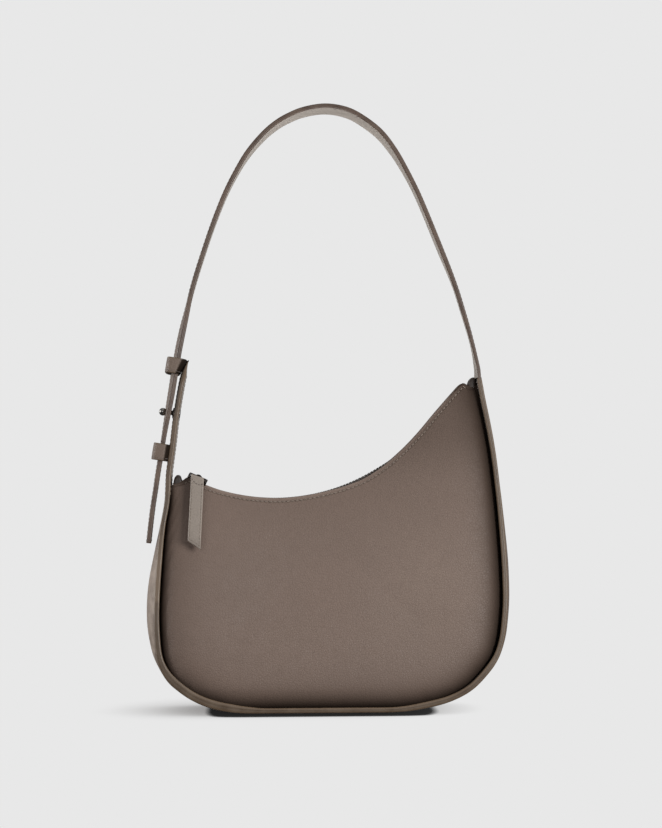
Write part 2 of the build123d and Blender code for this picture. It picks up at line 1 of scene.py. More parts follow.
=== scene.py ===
import bpy, json, math
import numpy as np
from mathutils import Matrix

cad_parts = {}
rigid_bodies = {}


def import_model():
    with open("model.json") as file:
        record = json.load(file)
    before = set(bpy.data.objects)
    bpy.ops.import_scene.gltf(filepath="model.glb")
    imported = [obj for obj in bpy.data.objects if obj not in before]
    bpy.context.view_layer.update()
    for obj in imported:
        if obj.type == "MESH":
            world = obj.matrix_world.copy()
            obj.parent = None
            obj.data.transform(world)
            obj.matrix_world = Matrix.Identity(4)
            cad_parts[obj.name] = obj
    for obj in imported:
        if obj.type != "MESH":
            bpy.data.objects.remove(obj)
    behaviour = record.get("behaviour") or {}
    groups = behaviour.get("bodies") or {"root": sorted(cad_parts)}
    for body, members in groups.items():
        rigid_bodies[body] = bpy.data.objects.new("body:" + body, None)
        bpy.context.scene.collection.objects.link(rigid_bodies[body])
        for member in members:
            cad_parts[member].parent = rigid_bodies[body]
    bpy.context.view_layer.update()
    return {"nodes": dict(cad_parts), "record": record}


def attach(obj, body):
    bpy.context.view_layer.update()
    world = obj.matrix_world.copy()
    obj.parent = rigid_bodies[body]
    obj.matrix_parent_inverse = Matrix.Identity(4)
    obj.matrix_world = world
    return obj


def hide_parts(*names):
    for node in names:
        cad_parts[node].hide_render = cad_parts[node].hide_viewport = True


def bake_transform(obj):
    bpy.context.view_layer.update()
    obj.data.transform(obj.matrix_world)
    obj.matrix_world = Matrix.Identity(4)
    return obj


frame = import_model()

# Visual model of a half-moon leather shoulder bag, in the CAD's frame. Lengths below are in mm.
RNG = np.random.default_rng(7)
JOINT = {j["name"]: j for j in frame["record"]["behaviour"]["joints"]}


def jpos(name):
    return np.array(JOINT[name]["pos_m"]) * 1000.0


ZIP_C = jpos("slider_travel")[[0, 2]]
RING_PIV = jpos("ring_swing")
TAB_PIV = jpos("tab_swing")

# ------------------------------------------------------------------ outlines (X, Z)
BAND_LEFT = [(-120.6, 178.0), (-120.8, 165.0), (-121.6, 155.0), (-123.7, 143.0), (-125.3, 129.0),
             (-126.3, 114.0), (-127.2, 99.0), (-127.8, 85.0), (-127.9, 70.5), (-127.0, 56.0),
             (-125.1, 40.9), (-118.8, 27.1), (-109.6, 18.1), (-99.5, 10.4), (-86.5, 4.4),
             (-72.0, 1.0), (-58.0, 0.0)]
BAND_RIGHT = [(45.0, 0.0), (60.0, 0.9), (75.4, 3.6), (90.9, 8.1), (104.8, 15.9), (115.2, 25.7),
              (125.9, 39.4), (131.1, 54.7), (133.2, 69.6), (134.3, 84.3), (134.3, 99.0),
              (133.9, 114.0), (133.1, 129.0), (132.2, 143.6), (131.1, 158.5), (129.7, 173.5),
              (128.2, 188.5), (126.2, 203.6), (123.6, 218.8), (120.6, 234.0), (117.6, 251.5)]
BAND = BAND_LEFT + [(-40.0, 0.0), (-20.0, 0.0), (0.0, 0.0), (25.0, 0.0)] + BAND_RIGHT
TOP_EDGE = [(-115.6, 171.2), (-113.4, 171.8), (-110.6, 172.0), (-108.2, 172.8), (-106.2, 175.0), (-104.4, 175.9),
            (-102.0, 175.0), (-97.5, 172.4), (-90.6, 169.6), (-81.6, 166.3), (-72.6, 163.9), (-63.6, 162.1),
            (-54.5, 160.8), (-43.0, 160.0), (-31.9, 160.0), (-18.4, 161.4), (-4.8, 163.8),
            (8.8, 167.3), (18.0, 170.2), (27.0, 173.8), (36.1, 179.0), (45.3, 185.6), (54.4, 193.3),
            (63.5, 202.1), (72.7, 212.2), (81.9, 223.3), (91.1, 233.9), (97.6, 241.2), (101.6, 245.6),
            (104.3, 247.7), (106.0, 247.0), (107.6, 245.2), (109.6, 244.8), (112.0, 245.6), (114.6, 246.2)]
STRAP_LINE = [(118.6, 241.0), (117.9, 250.0), (116.9, 257.0), (115.2, 264.4), (113.3, 272.5), (109.6, 287.0),
              (105.3, 302.0), (100.6, 317.5), (95.2, 332.8), (89.3, 348.0), (83.2, 363.2),
              (77.0, 378.4), (70.4, 393.7), (62.8, 408.9), (54.3, 424.2), (43.6, 438.7),
              (31.0, 449.0), (17.0, 456.6), (-0.5, 459.5), (-18.0, 456.6), (-30.5, 451.3),
              (-39.5, 445.8), (-49.5, 437.0), (-61.1, 422.9), (-70.1, 407.5), (-77.6, 392.3),
              (-83.8, 377.0), (-89.3, 361.8), (-94.3, 346.6), (-99.1, 331.4), (-103.4, 316.3),
              (-106.9, 301.2), (-110.3, 286.1), (-113.3, 271.0), (-115.8, 256.0), (-118.1, 241.0),
              (-120.6, 226.0), (-123.1, 211.0), (-125.4, 196.0), (-127.8, 181.0), (-129.8, 167.0),
              (-131.6, 155.0), (-133.3, 141.0), (-134.8, 126.5)]
TAB_OUTER = [(-120.5, 177.0), (-118.9, 190.0), (-117.2, 203.4), (-116.0, 215.0), (-114.5, 226.0),
             (-112.8, 237.0), (-111.1, 246.5), (-109.9, 252.6), (-107.6, 258.6), (-104.6, 264.2)]
TAPER_L = [(32.0, -5.0), (32.0, 20.0), (29.0, 60.0), (22.5, 110.0), (15.5, 150.0), (12.0, 176.0), (12.0, 300.0)]
TAPER_R = [(32.0, -5.0), (32.0, 20.0), (29.0, 80.0), (22.0, 150.0), (15.0, 210.0), (12.0, 249.0), (12.0, 300.0)]
BAND_T = 3.8
ZIP_R = 149.0
EDGE_Y = 6.8
PUFF = 15.5


# ------------------------------------------------------------------ curves
def catmull(points, n=10):
    P = np.array(points, float)
    P = np.vstack([2 * P[0] - P[1], P, 2 * P[-1] - P[-2]])
    out = []
    for i in range(1, len(P) - 2):
        t = np.linspace(0, 1, n, endpoint=False)[:, None]
        p0, p1, p2, p3 = P[i - 1], P[i], P[i + 1], P[i + 2]
        out.append(0.5 * (2 * p1 + (p2 - p0) * t + (2 * p0 - 5 * p1 + 4 * p2 - p3) * t ** 2
                          + (3 * p1 - p0 - 3 * p2 + p3) * t ** 3))
    out.append(P[-2][None])
    return np.vstack(out)


def arclen(P):
    return np.concatenate([[0], np.cumsum(np.linalg.norm(np.diff(P, axis=0), axis=1))])


def gsmooth(P, sigma, step):
    k = max(1, int(3 * sigma / step))
    w = np.exp(-0.5 * (np.arange(-k, k + 1) * step / sigma) ** 2)
    w /= w.sum()
    Q = np.atleast_2d(P.T).T
    pad = np.vstack([2 * Q[0] - Q[k:0:-1], Q, 2 * Q[-1] - Q[-2:-k - 2:-1]])
    R = np.stack([np.convolve(pad[:, c], w, mode="valid") for c in range(Q.shape[1])], 1)
    return R.reshape(P.shape)


def resample(points, step, sigma=0.0):
    D = catmull(points)
    s = arclen(D)
    n = max(2, int(round(s[-1] / step)) + 1)
    q = np.linspace(0, s[-1], n)
    R = np.stack([np.interp(q, s, D[:, c]) for c in range(D.shape[1])], 1)
    if sigma:
        R = gsmooth(R, sigma, s[-1] / (n - 1))
    return R


def frames2(P):
    """Unit tangents and right-hand normals of a line in XZ."""
    T = np.gradient(P, axis=0)
    T /= np.linalg.norm(T, axis=1)[:, None]
    return T, np.stack([T[:, 1], -T[:, 0]], 1)


def taper(z, side):
    a = np.array(TAPER_L if side < 0 else TAPER_R)
    return np.interp(z, a[:, 1], a[:, 0])


def half_depth(x, z):
    m = np.clip((np.asarray(x, float) + 30) / 60, 0, 1)
    return (1 - m) * taper(z, -1) + m * taper(z, 1)


def smooth01(t):
    t = np.clip(t, 0, 1)
    return t * t * (3 - 2 * t)


def poly_dist(X, Z, L):
    """Distance from points to a polyline, and the side (+ left of it)."""
    A, B = L[:-1], L[1:]
    D = B - A
    ll = (D ** 2).sum(1)
    best = np.full(X.shape, 1e9)
    side = np.ones(X.shape)
    for i in range(len(A)):
        t = np.clip(((X - A[i, 0]) * D[i, 0] + (Z - A[i, 1]) * D[i, 1]) / ll[i], 0, 1)
        dx, dz = X - A[i, 0] - t * D[i, 0], Z - A[i, 1] - t * D[i, 1]
        d = np.hypot(dx, dz)
        m = d < best
        best = np.where(m, d, best)
        side = np.where(m, np.sign(D[i, 0] * (Z - A[i, 1]) - D[i, 1] * (X - A[i, 0]) + 1e-12), side)
    return best, side


# smooth, repeatable surface noise made of a few sine waves
WAVES = [(RNG.normal(size=2) / l, RNG.uniform(0, 6.28), w) for l, w in
         ((85, 1.0), (70, 0.9), (56, 0.6), (44, 0.3), (34, 0.12))]


def soft_noise(X, Z):
    v = 0
    for k, ph, w in WAVES:
        v = v + w * np.sin((k[0] * X + k[1] * Z) * 3.0 + ph)
    return v / 2.4


# ------------------------------------------------------------------ mesh helpers
def add_mesh(name, verts, faces, mats, fmat=None, smooth=True, wear_and_highlight=None, shade=None):
    """verts in mm (n,3); faces is an (m,4) or (m,3) array or a list of them."""
    if isinstance(faces, np.ndarray):
        faces = [faces]
    loops = np.concatenate([f.reshape(-1) for f in faces]).astype(np.int32)
    sizes = np.concatenate([np.full(len(f), f.shape[1]) for f in faces]).astype(np.int32)
    starts = np.concatenate([[0], np.cumsum(sizes)[:-1]]).astype(np.int32)
    me = bpy.data.meshes.new(name)
    me.vertices.add(len(verts))
    me.vertices.foreach_set("co", (np.asarray(verts) * 0.001).astype(np.float32).ravel())
    me.loops.add(len(loops))
    me.loops.foreach_set("vertex_index", loops)
    me.polygons.add(len(sizes))
    me.polygons.foreach_set("loop_start", starts)
    me.polygons.foreach_set("use_smooth", np.full(len(sizes), smooth))
    for m in mats:
        me.materials.append(m)
    if fmat is not None:
        me.polygons.foreach_set("material_index", np.asarray(fmat, np.int32))
    me.update(calc_edges=True)
    if wear_and_highlight is not None:
        a = me.attributes.new("wear_and_highlight", "FLOAT", "POINT")
        a.data.foreach_set("value", np.asarray(wear_and_highlight, np.float32))
    if shade is not None:
        a = me.attributes.new("painted_shade", "FLOAT", "POINT")
        a.data.foreach_set("value", np.asarray(shade, np.float32))
    me.validate()
    ob = bpy.data.objects.new(name, me)
    bpy.context.scene.collection.objects.link(ob)
    return ob


def quads(nu, nv, close_u=False, close_v=False, off=0):
    """Faces of a grid whose vertex (i, j) has index i * nv + j."""
    i = np.arange(nu if close_u else nu - 1)
    j = np.arange(nv if close_v else nv - 1)
    I, J = np.meshgrid(i, j, indexing="ij")
    I2, J2 = (I + 1) % nu, (J + 1) % nv
    return np.stack([I * nv + J, I2 * nv + J, I2 * nv + J2, I * nv + J2], -1).reshape(-1, 4) + off


def merge(parts):
    """Joins (verts, faces, mat index) groups."""
    V, F, M, o = [], [], [], 0
    for v, f, m in parts:
        V.append(v)
        F.append(f + o)
        M.append(np.full(len(f), m) if np.isscalar(m) else m)
        o += len(v)
    four = [f for f in F if f.shape[1] == 4]
    three = [f for f in F if f.shape[1] == 3]
    fm = [m for f, m in zip(F, M) if f.shape[1] == 4] + [m for f, m in zip(F, M) if f.shape[1] == 3]
    faces = ([np.vstack(four)] if four else []) + ([np.vstack(three)] if three else [])
    return np.vstack(V), faces, np.concatenate(fm)


def capsule(n_ring=6, n_len=5):
    """Unit stitch: along X from -0.5 to 0.5, radius 1 in Y and Z, rounded ends."""
    xs = np.array([-0.5, -0.44, -0.3, 0.3, 0.44, 0.5])
    rs = np.array([0.12, 0.72, 1.0, 1.0, 0.72, 0.12])
    a = np.arange(n_ring) * 2 * math.pi / n_ring
    V = np.stack([np.repeat(xs, n_ring), np.outer(rs, np.cos(a)).ravel(), np.outer(rs, np.sin(a)).ravel()], 1)
    return V, quads(len(xs), n_ring, close_v=True)


CAP_V, CAP_F = capsule()


def stitches(P, T, N, length=2.5, r=0.36, sink=0.12, flat=0.7):
    """One capsule for each point: P places, T directions along the seam, N surface normals."""
    B = np.cross(N, T)
    V = (P[:, None] + CAP_V[None, :, :1] * T[:, None] * length
         + CAP_V[None, :, 1:2] * B[:, None] * r
         + (CAP_V[None, :, 2:3] * flat * r - sink) * N[:, None])
    F = CAP_F[None] + (np.arange(len(P)) * len(CAP_V))[:, None, None]
    return V.reshape(-1, 3), F.reshape(-1, 4)


def along(P, pitch, start=0.0, end=0.0):
    """Even places along a 3-D polyline: positions and unit tangents."""
    s = arclen(P)
    n = max(2, int((s[-1] - start - end) / pitch))
    q = start + np.arange(n + 1) * (s[-1] - start - end) / n
    Q = np.stack([np.interp(q, s, P[:, c]) for c in range(3)], 1)
    Q2 = np.stack([np.interp(q + 0.4, s, P[:, c]) for c in range(3)], 1)
    Q1 = np.stack([np.interp(q - 0.4, s, P[:, c]) for c in range(3)], 1)
    T = Q2 - Q1
    return Q, T / np.linalg.norm(T, axis=1)[:, None]


# ------------------------------------------------------------------ materials
def mat_base(name):
    m = bpy.data.materials.new(name)
    m.use_nodes = True
    nt = m.node_tree
    nt.nodes.clear()
    out = nt.nodes.new("ShaderNodeOutputMaterial")
    b = nt.nodes.new("ShaderNodeBsdfPrincipled")
    nt.links.new(b.outputs[0], out.inputs[0])
    return m, nt, b


def N(nt, kind, **kw):
    n = nt.nodes.new(kind)
    for k, v in kw.items():
        if k in n.inputs.keys():
            n.inputs[k].default_value = v
        else:
            setattr(n, k, v)
    return n


def mix_col(nt, fac, a, b):
    n = nt.nodes.new("ShaderNodeMix")
    n.data_type = "RGBA"
    if isinstance(fac, float):
        n.inputs[0].default_value = fac
    else:
        nt.links.new(fac, n.inputs[0])
    for sock, v in ((n.inputs[6], a), (n.inputs[7], b)):
        if isinstance(v, tuple):
            sock.default_value = (*v, 1)
        else:
            nt.links.new(v, sock)
    return n.outputs[2]


def ramp(nt, src, a, b, lo_v=0.0, hi_v=1.0):
    n = nt.nodes.new("ShaderNodeMapRange")
    n.inputs["From Min"].default_value = a
    n.inputs["From Max"].default_value = b
    n.inputs["To Min"].default_value = lo_v
    n.inputs["To Max"].default_value = hi_v
    nt.links.new(src, n.inputs["Value"])
    return n.outputs[0]


def leather(name, col, col2, rough=0.52, grain=0.22, cell=1300.0, wear_and_highlight_col=None, sheen=0.08, spec=0.4):
    m, nt, b = mat_base(name)
    tc = N(nt, "ShaderNodeTexCoord")
    big = N(nt, "ShaderNodeTexNoise", Scale=14.0, Detail=4.0, Roughness=0.55)
    mid = N(nt, "ShaderNodeTexNoise", Scale=130.0, Detail=5.0, Roughness=0.6)
    vor = N(nt, "ShaderNodeTexVoronoi", Scale=cell)
    vor2 = N(nt, "ShaderNodeTexVoronoi", Scale=cell * 0.42, feature="DISTANCE_TO_EDGE")
    pore = N(nt, "ShaderNodeTexNoise", Scale=cell * 2.2, Detail=3.0, Roughness=0.6)
    wob = N(nt, "ShaderNodeTexNoise", Scale=cell * 0.3, Detail=2.0)
    add = N(nt, "ShaderNodeVectorMath", operation="MULTIPLY_ADD")
    add.inputs[1].default_value = (0.0009, 0.0009, 0.0009)
    nt.links.new(tc.outputs["Object"], wob.inputs["Vector"])
    nt.links.new(wob.outputs["Color"], add.inputs[0])
    nt.links.new(tc.outputs["Object"], add.inputs[2])
    for n in (big, mid, pore):
        nt.links.new(tc.outputs["Object"], n.inputs["Vector"])
    for n in (vor, vor2):
        nt.links.new(add.outputs[0], n.inputs["Vector"])
    f1 = ramp(nt, big.outputs["Fac"], 0.25, 0.75, 0.0, 0.7)
    c = mix_col(nt, f1, col, col2)
    f2 = ramp(nt, mid.outputs["Fac"], 0.3, 0.7, 0.0, 0.14)
    c = mix_col(nt, f2, c, tuple(v * 0.72 for v in col))
    f3 = ramp(nt, vor2.outputs["Distance"], 0.0, 0.10, 0.30, 0.0)
    c = mix_col(nt, f3, c, tuple(v * 0.55 for v in col))
    # the per-vertex attribute lightens the colour: real wear on some pieces, painted highlight on others
    if wear_and_highlight_col:
        at = N(nt, "ShaderNodeAttribute", attribute_name="wear_and_highlight")
        w = N(nt, "ShaderNodeMath", operation="MULTIPLY")
        nt.links.new(at.outputs["Fac"], w.inputs[0])
        nt.links.new(ramp(nt, mid.outputs["Fac"], 0.35, 0.65, 0.35, 1.0), w.inputs[1])
        c = mix_col(nt, w.outputs[0], c, wear_and_highlight_col)
    # painted shade: the per-vertex attribute darkens the colour towards near black and takes specular and sheen away
    # there
    cr = N(nt, "ShaderNodeAttribute", attribute_name="painted_shade")
    c = mix_col(nt, ramp(nt, cr.outputs["Fac"], 0.0, 1.0, 0.0, 0.95), c, (0.008, 0.005, 0.003))
    nt.links.new(c, b.inputs["Base Color"])
    r = N(nt, "ShaderNodeMath", operation="ADD")
    nt.links.new(ramp(nt, mid.outputs["Fac"], 0.3, 0.7, rough - 0.07, rough + 0.07), r.inputs[0])
    nt.links.new(ramp(nt, vor2.outputs["Distance"], 0.0, 0.12, 0.10, 0.0), r.inputs[1])
    nt.links.new(r.outputs[0], b.inputs["Roughness"])
    nt.links.new(ramp(nt, cr.outputs["Fac"], 0.0, 0.7, spec, 0.03), b.inputs["Specular IOR Level"])
    nt.links.new(ramp(nt, cr.outputs["Fac"], 0.0, 0.5, sheen, 0.0), b.inputs["Sheen Weight"])
    b.inputs["Sheen Roughness"].default_value = 0.5
    h = N(nt, "ShaderNodeMath", operation="MULTIPLY_ADD")
    h.inputs[1].default_value = 1.6
    nt.links.new(ramp(nt, vor2.outputs["Distance"], 0.0, 0.16), h.inputs[0])
    h2 = N(nt, "ShaderNodeMath", operation="MULTIPLY_ADD")
    h2.inputs[1].default_value = 0.35
    nt.links.new(pore.outputs["Fac"], h2.inputs[0])
    nt.links.new(vor.outputs["Distance"], h2.inputs[2])
    nt.links.new(h2.outputs[0], h.inputs[2])
    bp = N(nt, "ShaderNodeBump", Strength=grain, Distance=0.00035)
    nt.links.new(h.outputs[0], bp.inputs["Height"])
    bp2 = N(nt, "ShaderNodeBump", Strength=0.12, Distance=0.0012)
    nt.links.new(mid.outputs["Fac"], bp2.inputs["Height"])
    nt.links.new(bp.outputs[0], bp2.inputs["Normal"])
    nt.links.new(bp2.outputs[0], b.inputs["Normal"])
    return m


def edge_paint(name, col, col2, rough=0.42):
    """Painted and burnished leather edge: two layers with a faint line, small ripples along it."""
    m, nt, b = mat_base(name)
    tc = N(nt, "ShaderNodeTexCoord")
    n1 = N(nt, "ShaderNodeTexNoise", Scale=90.0, Detail=5.0, Roughness=0.6)
    n2 = N(nt, "ShaderNodeTexNoise", Scale=700.0, Detail=3.0)
    for n in (n1, n2):
        nt.links.new(tc.outputs["Object"], n.inputs["Vector"])
    c = mix_col(nt, ramp(nt, n1.outputs["Fac"], 0.35, 0.65), col, col2)
    # the per-vertex attribute lightens the edge: painted highlight on its rounded corners, and wear
    at = N(nt, "ShaderNodeAttribute", attribute_name="wear_and_highlight")
    c = mix_col(nt, ramp(nt, at.outputs["Fac"], 0.0, 1.0, 0.0, 0.8), c, tuple(min(1, v * 1.9) for v in col2))
    # painted shade: the per-vertex attribute darkens the edge towards near black
    cr = N(nt, "ShaderNodeAttribute", attribute_name="painted_shade")
    c = mix_col(nt, ramp(nt, cr.outputs["Fac"], 0.0, 1.0, 0.0, 0.94), c, (0.006, 0.004, 0.003))
    nt.links.new(c, b.inputs["Base Color"])
    nt.links.new(ramp(nt, n1.outputs["Fac"], 0.3, 0.7, rough - 0.06, rough + 0.1), b.inputs["Roughness"])
    bp = N(nt, "ShaderNodeBump", Strength=0.25, Distance=0.0003)
    nt.links.new(n2.outputs["Fac"], bp.inputs["Height"])
    nt.links.new(bp.outputs[0], b.inputs["Normal"])
    return m


def thread(name, col):
    m, nt, b = mat_base(name)
    tc = N(nt, "ShaderNodeTexCoord")
    w = N(nt, "ShaderNodeTexWave", Scale=1900.0, Distortion=1.0, bands_direction="DIAGONAL")
    n = N(nt, "ShaderNodeTexNoise", Scale=300.0, Detail=3.0)
    for k in (w, n):
        nt.links.new(tc.outputs["Object"], k.inputs["Vector"])
    c = mix_col(nt, ramp(nt, n.outputs["Fac"], 0.3, 0.7), col, tuple(v * 0.75 for v in col))
    c = mix_col(nt, ramp(nt, w.outputs["Fac"], 0.0, 1.0, 0.35, 0.0), c, tuple(v * 0.45 for v in col))
    nt.links.new(c, b.inputs["Base Color"])
    b.inputs["Roughness"].default_value = 0.6
    b.inputs["Sheen Weight"].default_value = 0.3
    bp = N(nt, "ShaderNodeBump", Strength=0.5, Distance=0.0002)
    nt.links.new(w.outputs["Fac"], bp.inputs["Height"])
    nt.links.new(bp.outputs[0], b.inputs["Normal"])
    return m


def fabric(name, col, scale=900.0):
    m, nt, b = mat_base(name)
    tc = N(nt, "ShaderNodeTexCoord")
    w1 = N(nt, "ShaderNodeTexWave", Scale=scale, Distortion=0.6, bands_direction="X")
    w2 = N(nt, "ShaderNodeTexWave", Scale=scale, Distortion=0.6, bands_direction="Z")
    n = N(nt, "ShaderNodeTexNoise", Scale=60.0, Detail=4.0)
    for k in (w1, w2, n):
        nt.links.new(tc.outputs["Object"], k.inputs["Vector"])
    s = N(nt, "ShaderNodeMath", operation="MULTIPLY")
    nt.links.new(w1.outputs["Fac"], s.inputs[0])
    nt.links.new(w2.outputs["Fac"], s.inputs[1])
    c = mix_col(nt, ramp(nt, n.outputs["Fac"], 0.3, 0.7), col, tuple(v * 0.7 for v in col))
    c = mix_col(nt, ramp(nt, s.outputs[0], 0.0, 0.8, 0.4, 0.0), c, tuple(v * 0.5 for v in col))
    nt.links.new(c, b.inputs["Base Color"])
    b.inputs["Roughness"].default_value = 0.85
    b.inputs["Sheen Weight"].default_value = 0.25
    bp = N(nt, "ShaderNodeBump", Strength=0.4, Distance=0.0003)
    nt.links.new(s.outputs[0], bp.inputs["Height"])
    nt.links.new(bp.outputs[0], b.inputs["Normal"])
    return m


def metal(name, col, rough, var=0.08):
    m, nt, b = mat_base(name)
    tc = N(nt, "ShaderNodeTexCoord")
    n = N(nt, "ShaderNodeTexNoise", Scale=260.0, Detail=4.0)
    sc = N(nt, "ShaderNodeTexNoise", Scale=2400.0, Detail=2.0)
    for k in (n, sc):
        nt.links.new(tc.outputs["Object"], k.inputs["Vector"])
    c = mix_col(nt, ramp(nt, n.outputs["Fac"], 0.3, 0.7, 0.0, 0.5), col, tuple(v * 0.8 for v in col))
    nt.links.new(c, b.inputs["Base Color"])
    b.inputs["Metallic"].default_value = 1.0
    nt.links.new(ramp(nt, n.outputs["Fac"], 0.3, 0.7, max(0.03, rough - var), rough + var), b.inputs["Roughness"])
    bp = N(nt, "ShaderNodeBump", Strength=0.05, Distance=0.0001)
    nt.links.new(sc.outputs["Fac"], bp.inputs["Height"])
    nt.links.new(bp.outputs[0], b.inputs["Normal"])
    return m


def srgb(r, g, b):
    f = lambda v: (v / 255 / 12.92) if v <= 10.31 else ((v / 255 + 0.055) / 1.055) ** 2.4
    return (f(r), f(g), f(b))


M_PANEL = leather("leather_panel", srgb(123, 104, 93), srgb(115, 98, 88), wear_and_highlight_col=srgb(150, 132, 120))
M_BAND = leather("leather_band", srgb(114, 97, 85), srgb(106, 90, 79), wear_and_highlight_col=srgb(170, 154, 141))
M_EDGE_L = edge_paint("edge_paint_light", srgb(128, 113, 102), srgb(142, 128, 117))
M_INNER = leather("leather_inner", srgb(170, 161, 152), srgb(160, 150, 141), rough=0.6, grain=0.06)
M_PULL = leather("leather_pull", srgb(149, 138, 128), srgb(141, 130, 120), wear_and_highlight_col=srgb(170, 158, 148))
M_EDGE = edge_paint("edge_paint", srgb(84, 68, 53), srgb(98, 82, 66))
M_EDGE_D = edge_paint("edge_paint_dark", srgb(64, 49, 40), srgb(80, 64, 53))
M_THREAD = thread("thread", srgb(134, 118, 105))
M_THREAD_P = thread("thread_panel", srgb(146, 129, 115))
M_THREAD_I = thread("thread_inner", srgb(160, 149, 139))
M_THREAD_T = thread("thread_tab", srgb(112, 98, 89))
# painted shade: near-black colour for the inside of the strap's holes
M_HOLE_SHADE = edge_paint("hole_painted_shade", srgb(34, 26, 22), srgb(46, 36, 30), 0.7)
M_THREAD_D = thread("thread_dark", srgb(118, 102, 92))
M_TAPE = fabric("zip_tape", srgb(70, 60, 54), 1400.0)
M_LINING = fabric("lining_cloth", srgb(96, 84, 76), 1000.0)
M_ZIP = metal("zip_metal", srgb(92, 84, 78), 0.32)
M_DARK = metal("dark_metal", srgb(70, 64, 60), 0.28)
M_CHROME = metal("polished_metal", srgb(134, 132, 129), 0.09, 0.03)
M_STEEL = metal("steel", srgb(176, 174, 172), 0.3)
M_BOARD = fabric("fibre_board", srgb(150, 132, 110), 300.0)

# ------------------------------------------------------------------ the band (gusset)
STEP = 1.6
# one line from the stud tab's point, down the left side, along the base and up to the right corner
FULL = [p for p in TAB_OUTER[::-1][:-1]] + [(-120.4, 178.0)] + BAND[1:]
LINE = resample(FULL, STEP, sigma=3.0)
LT, LN = frames2(LINE)                      # LN points out of the bag
ls = arclen(LINE)
side = np.where(LINE[:, 0] < 0, -1, 1)
HY = half_depth(LINE[:, 0], LINE[:, 1])
HY = gsmooth(HY, 7.0, STEP)
SPLIT = int(np.argmin(np.where(LINE[:, 0] < -60, np.abs(LINE[:, 1] - 164.0), 1e9)))


def bump(z, a, b, c, d):
    return smooth01((z - a) / (b - a)) * (1 - smooth01((z - c) / (d - c)))


BULGE = np.where(LINE[:, 0] < 0, 7.0 * bump(LINE[:, 1], 12, 66, 84, 152),
                 4.4 * bump(LINE[:, 1], 14, 60, 100, 205))
BULGE = gsmooth(BULGE, 8.0, STEP)
LIFT = 2.4 * (1 - smooth01(LINE[:, 1] / 26.0)) * np.abs(LN[:, 1])
LIFT = gsmooth(LIFT, 6.0, STEP)


def band_section(i, t_scale=1.0, width=None):
    """Closed cross-section of the band at station i: (y, outward offset, kind, wear with painted highlight, painted
    shade).
    """
    hy = HY[i] if width is None else width
    T = BAND_T * t_scale
    ys = hy * np.linspace(-1, 1, 25)[1:-1] * (hy - 1.6) / hy
    q = ys / hy
    o = BULGE[i] * (1 - q ** 2) - LIFT[i] * np.abs(q) ** 3
    oe = -LIFT[i]
    # third value of each edge point: painted highlight on the edge's rounded corners; fourth value: painted shade in
    # the groove between the two layers and at the inner corner by the panel
    edge = [(-0.95, 0.0, .4, 0), (-0.35, -0.18, .55, 0), (-0.02, -0.75, .25, 0), (0.15, -T * 0.34, 0, 0),
            (0.02, -T * 0.47, 0, .12), (0.02, -T * 0.53, 0, .12), (0.15, -T * 0.66, 0.1, 0),
            (-0.02, -T + 0.75, .4, 0), (-0.35, -T + 0.18, .65, 0), (-0.95, -T, .2, .45)]
    sec = [(y, v, 0, 0.0, 0.0) for y, v in zip(ys, o)]
    sec += [(hy + a, oe + v, 1, w_, c_) for a, v, w_, c_ in edge]
    oi = BULGE[i] * (1 - q ** 2) - LIFT[i] * np.abs(q) ** 3 - T
    # the inner face is darkened all over: painted shade inside the bag
    sec += [(y, v, 2, 0.0, 1.0) for y, v in zip(ys[::-1], oi[::-1])]
    sec += [(-hy - a, oe + v, 1, w_, c_) for a, v, w_, c_ in edge[::-1]]
    return sec


def sweep_band(idx, shape=None, ends=(True, True)):
    """Sweeps the section over stations idx. shape(k) -> (width scale, thickness scale) for the ends."""
    V, M = [], None
    for k, i in enumerate(idx):
        w, t = (1, 1) if shape is None else shape(k, i)
        sec = band_section(i, t, HY[i] * w)
        y = np.array([s[0] for s in sec])
        o = np.array([s[1] for s in sec])
        V.append(np.stack([LINE[i, 0] + LN[i, 0] * o, y, LINE[i, 1] + LN[i, 1] * o], 1))
        if M is None:
            kind = np.array([s[2] for s in sec])
    nv = len(kind)
    V = np.vstack(V)
    F = quads(len(idx), nv, close_v=True)
    # an edge face is one whose two section points are both edge points
    j = np.tile(np.arange(nv), len(idx) - 1)
    k0, k1 = kind[j], kind[(j + 1) % nv]
    fm = np.where((k0 == 1) & (k1 == 1), 1, np.where((k0 == 2) | (k1 == 2), 2, 0))
    # close both ends
    caps = []
    for on, base in zip(ends, (0, (len(idx) - 1) * nv)):
        if not on:
            continue
        n = nv // 2
        a = base + np.arange(n)
        b = base + (nv - 1 - np.arange(n))
        f = np.stack([a[:-1], a[1:], b[1:], b[:-1]], 1)
        caps.append(f if base else f[:, ::-1])
    # per vertex: wear with painted highlight, and painted shade
    wr = np.tile([s[3] for s in sec], len(idx))
    cs = np.tile([s[4] for s in sec], len(idx))
    return V, np.vstack([F] + caps), np.concatenate([fm] + [np.full(len(c), 1) for c in caps]), nv, wr, cs


idx = np.arange(SPLIT, len(LINE))
n_end = len(idx)


def end_shape(k, i):
    # soften the very end at the right corner
    r = n_end - 1 - k
    # the bent band stands thicker round the two lower corners
    x, z = LINE[i]
    low = smooth01((60.0 - z) / 20.0)
    th = 1 + 0.66 * low * smooth01((x + 129.0) / 13.0) * smooth01((-42.0 - x) / 36.0) \
        + 0.24 * low * smooth01((x - 45.0) / 32.0) * smooth01((134.0 - x) / 12.0)
    return (1, th) if r > 1 else (1 - 0.01 * (2 - r), 1 - 0.05 * (2 - r))


V, F, FM, _, wr, cs = sweep_band(idx, end_shape, (False, True))
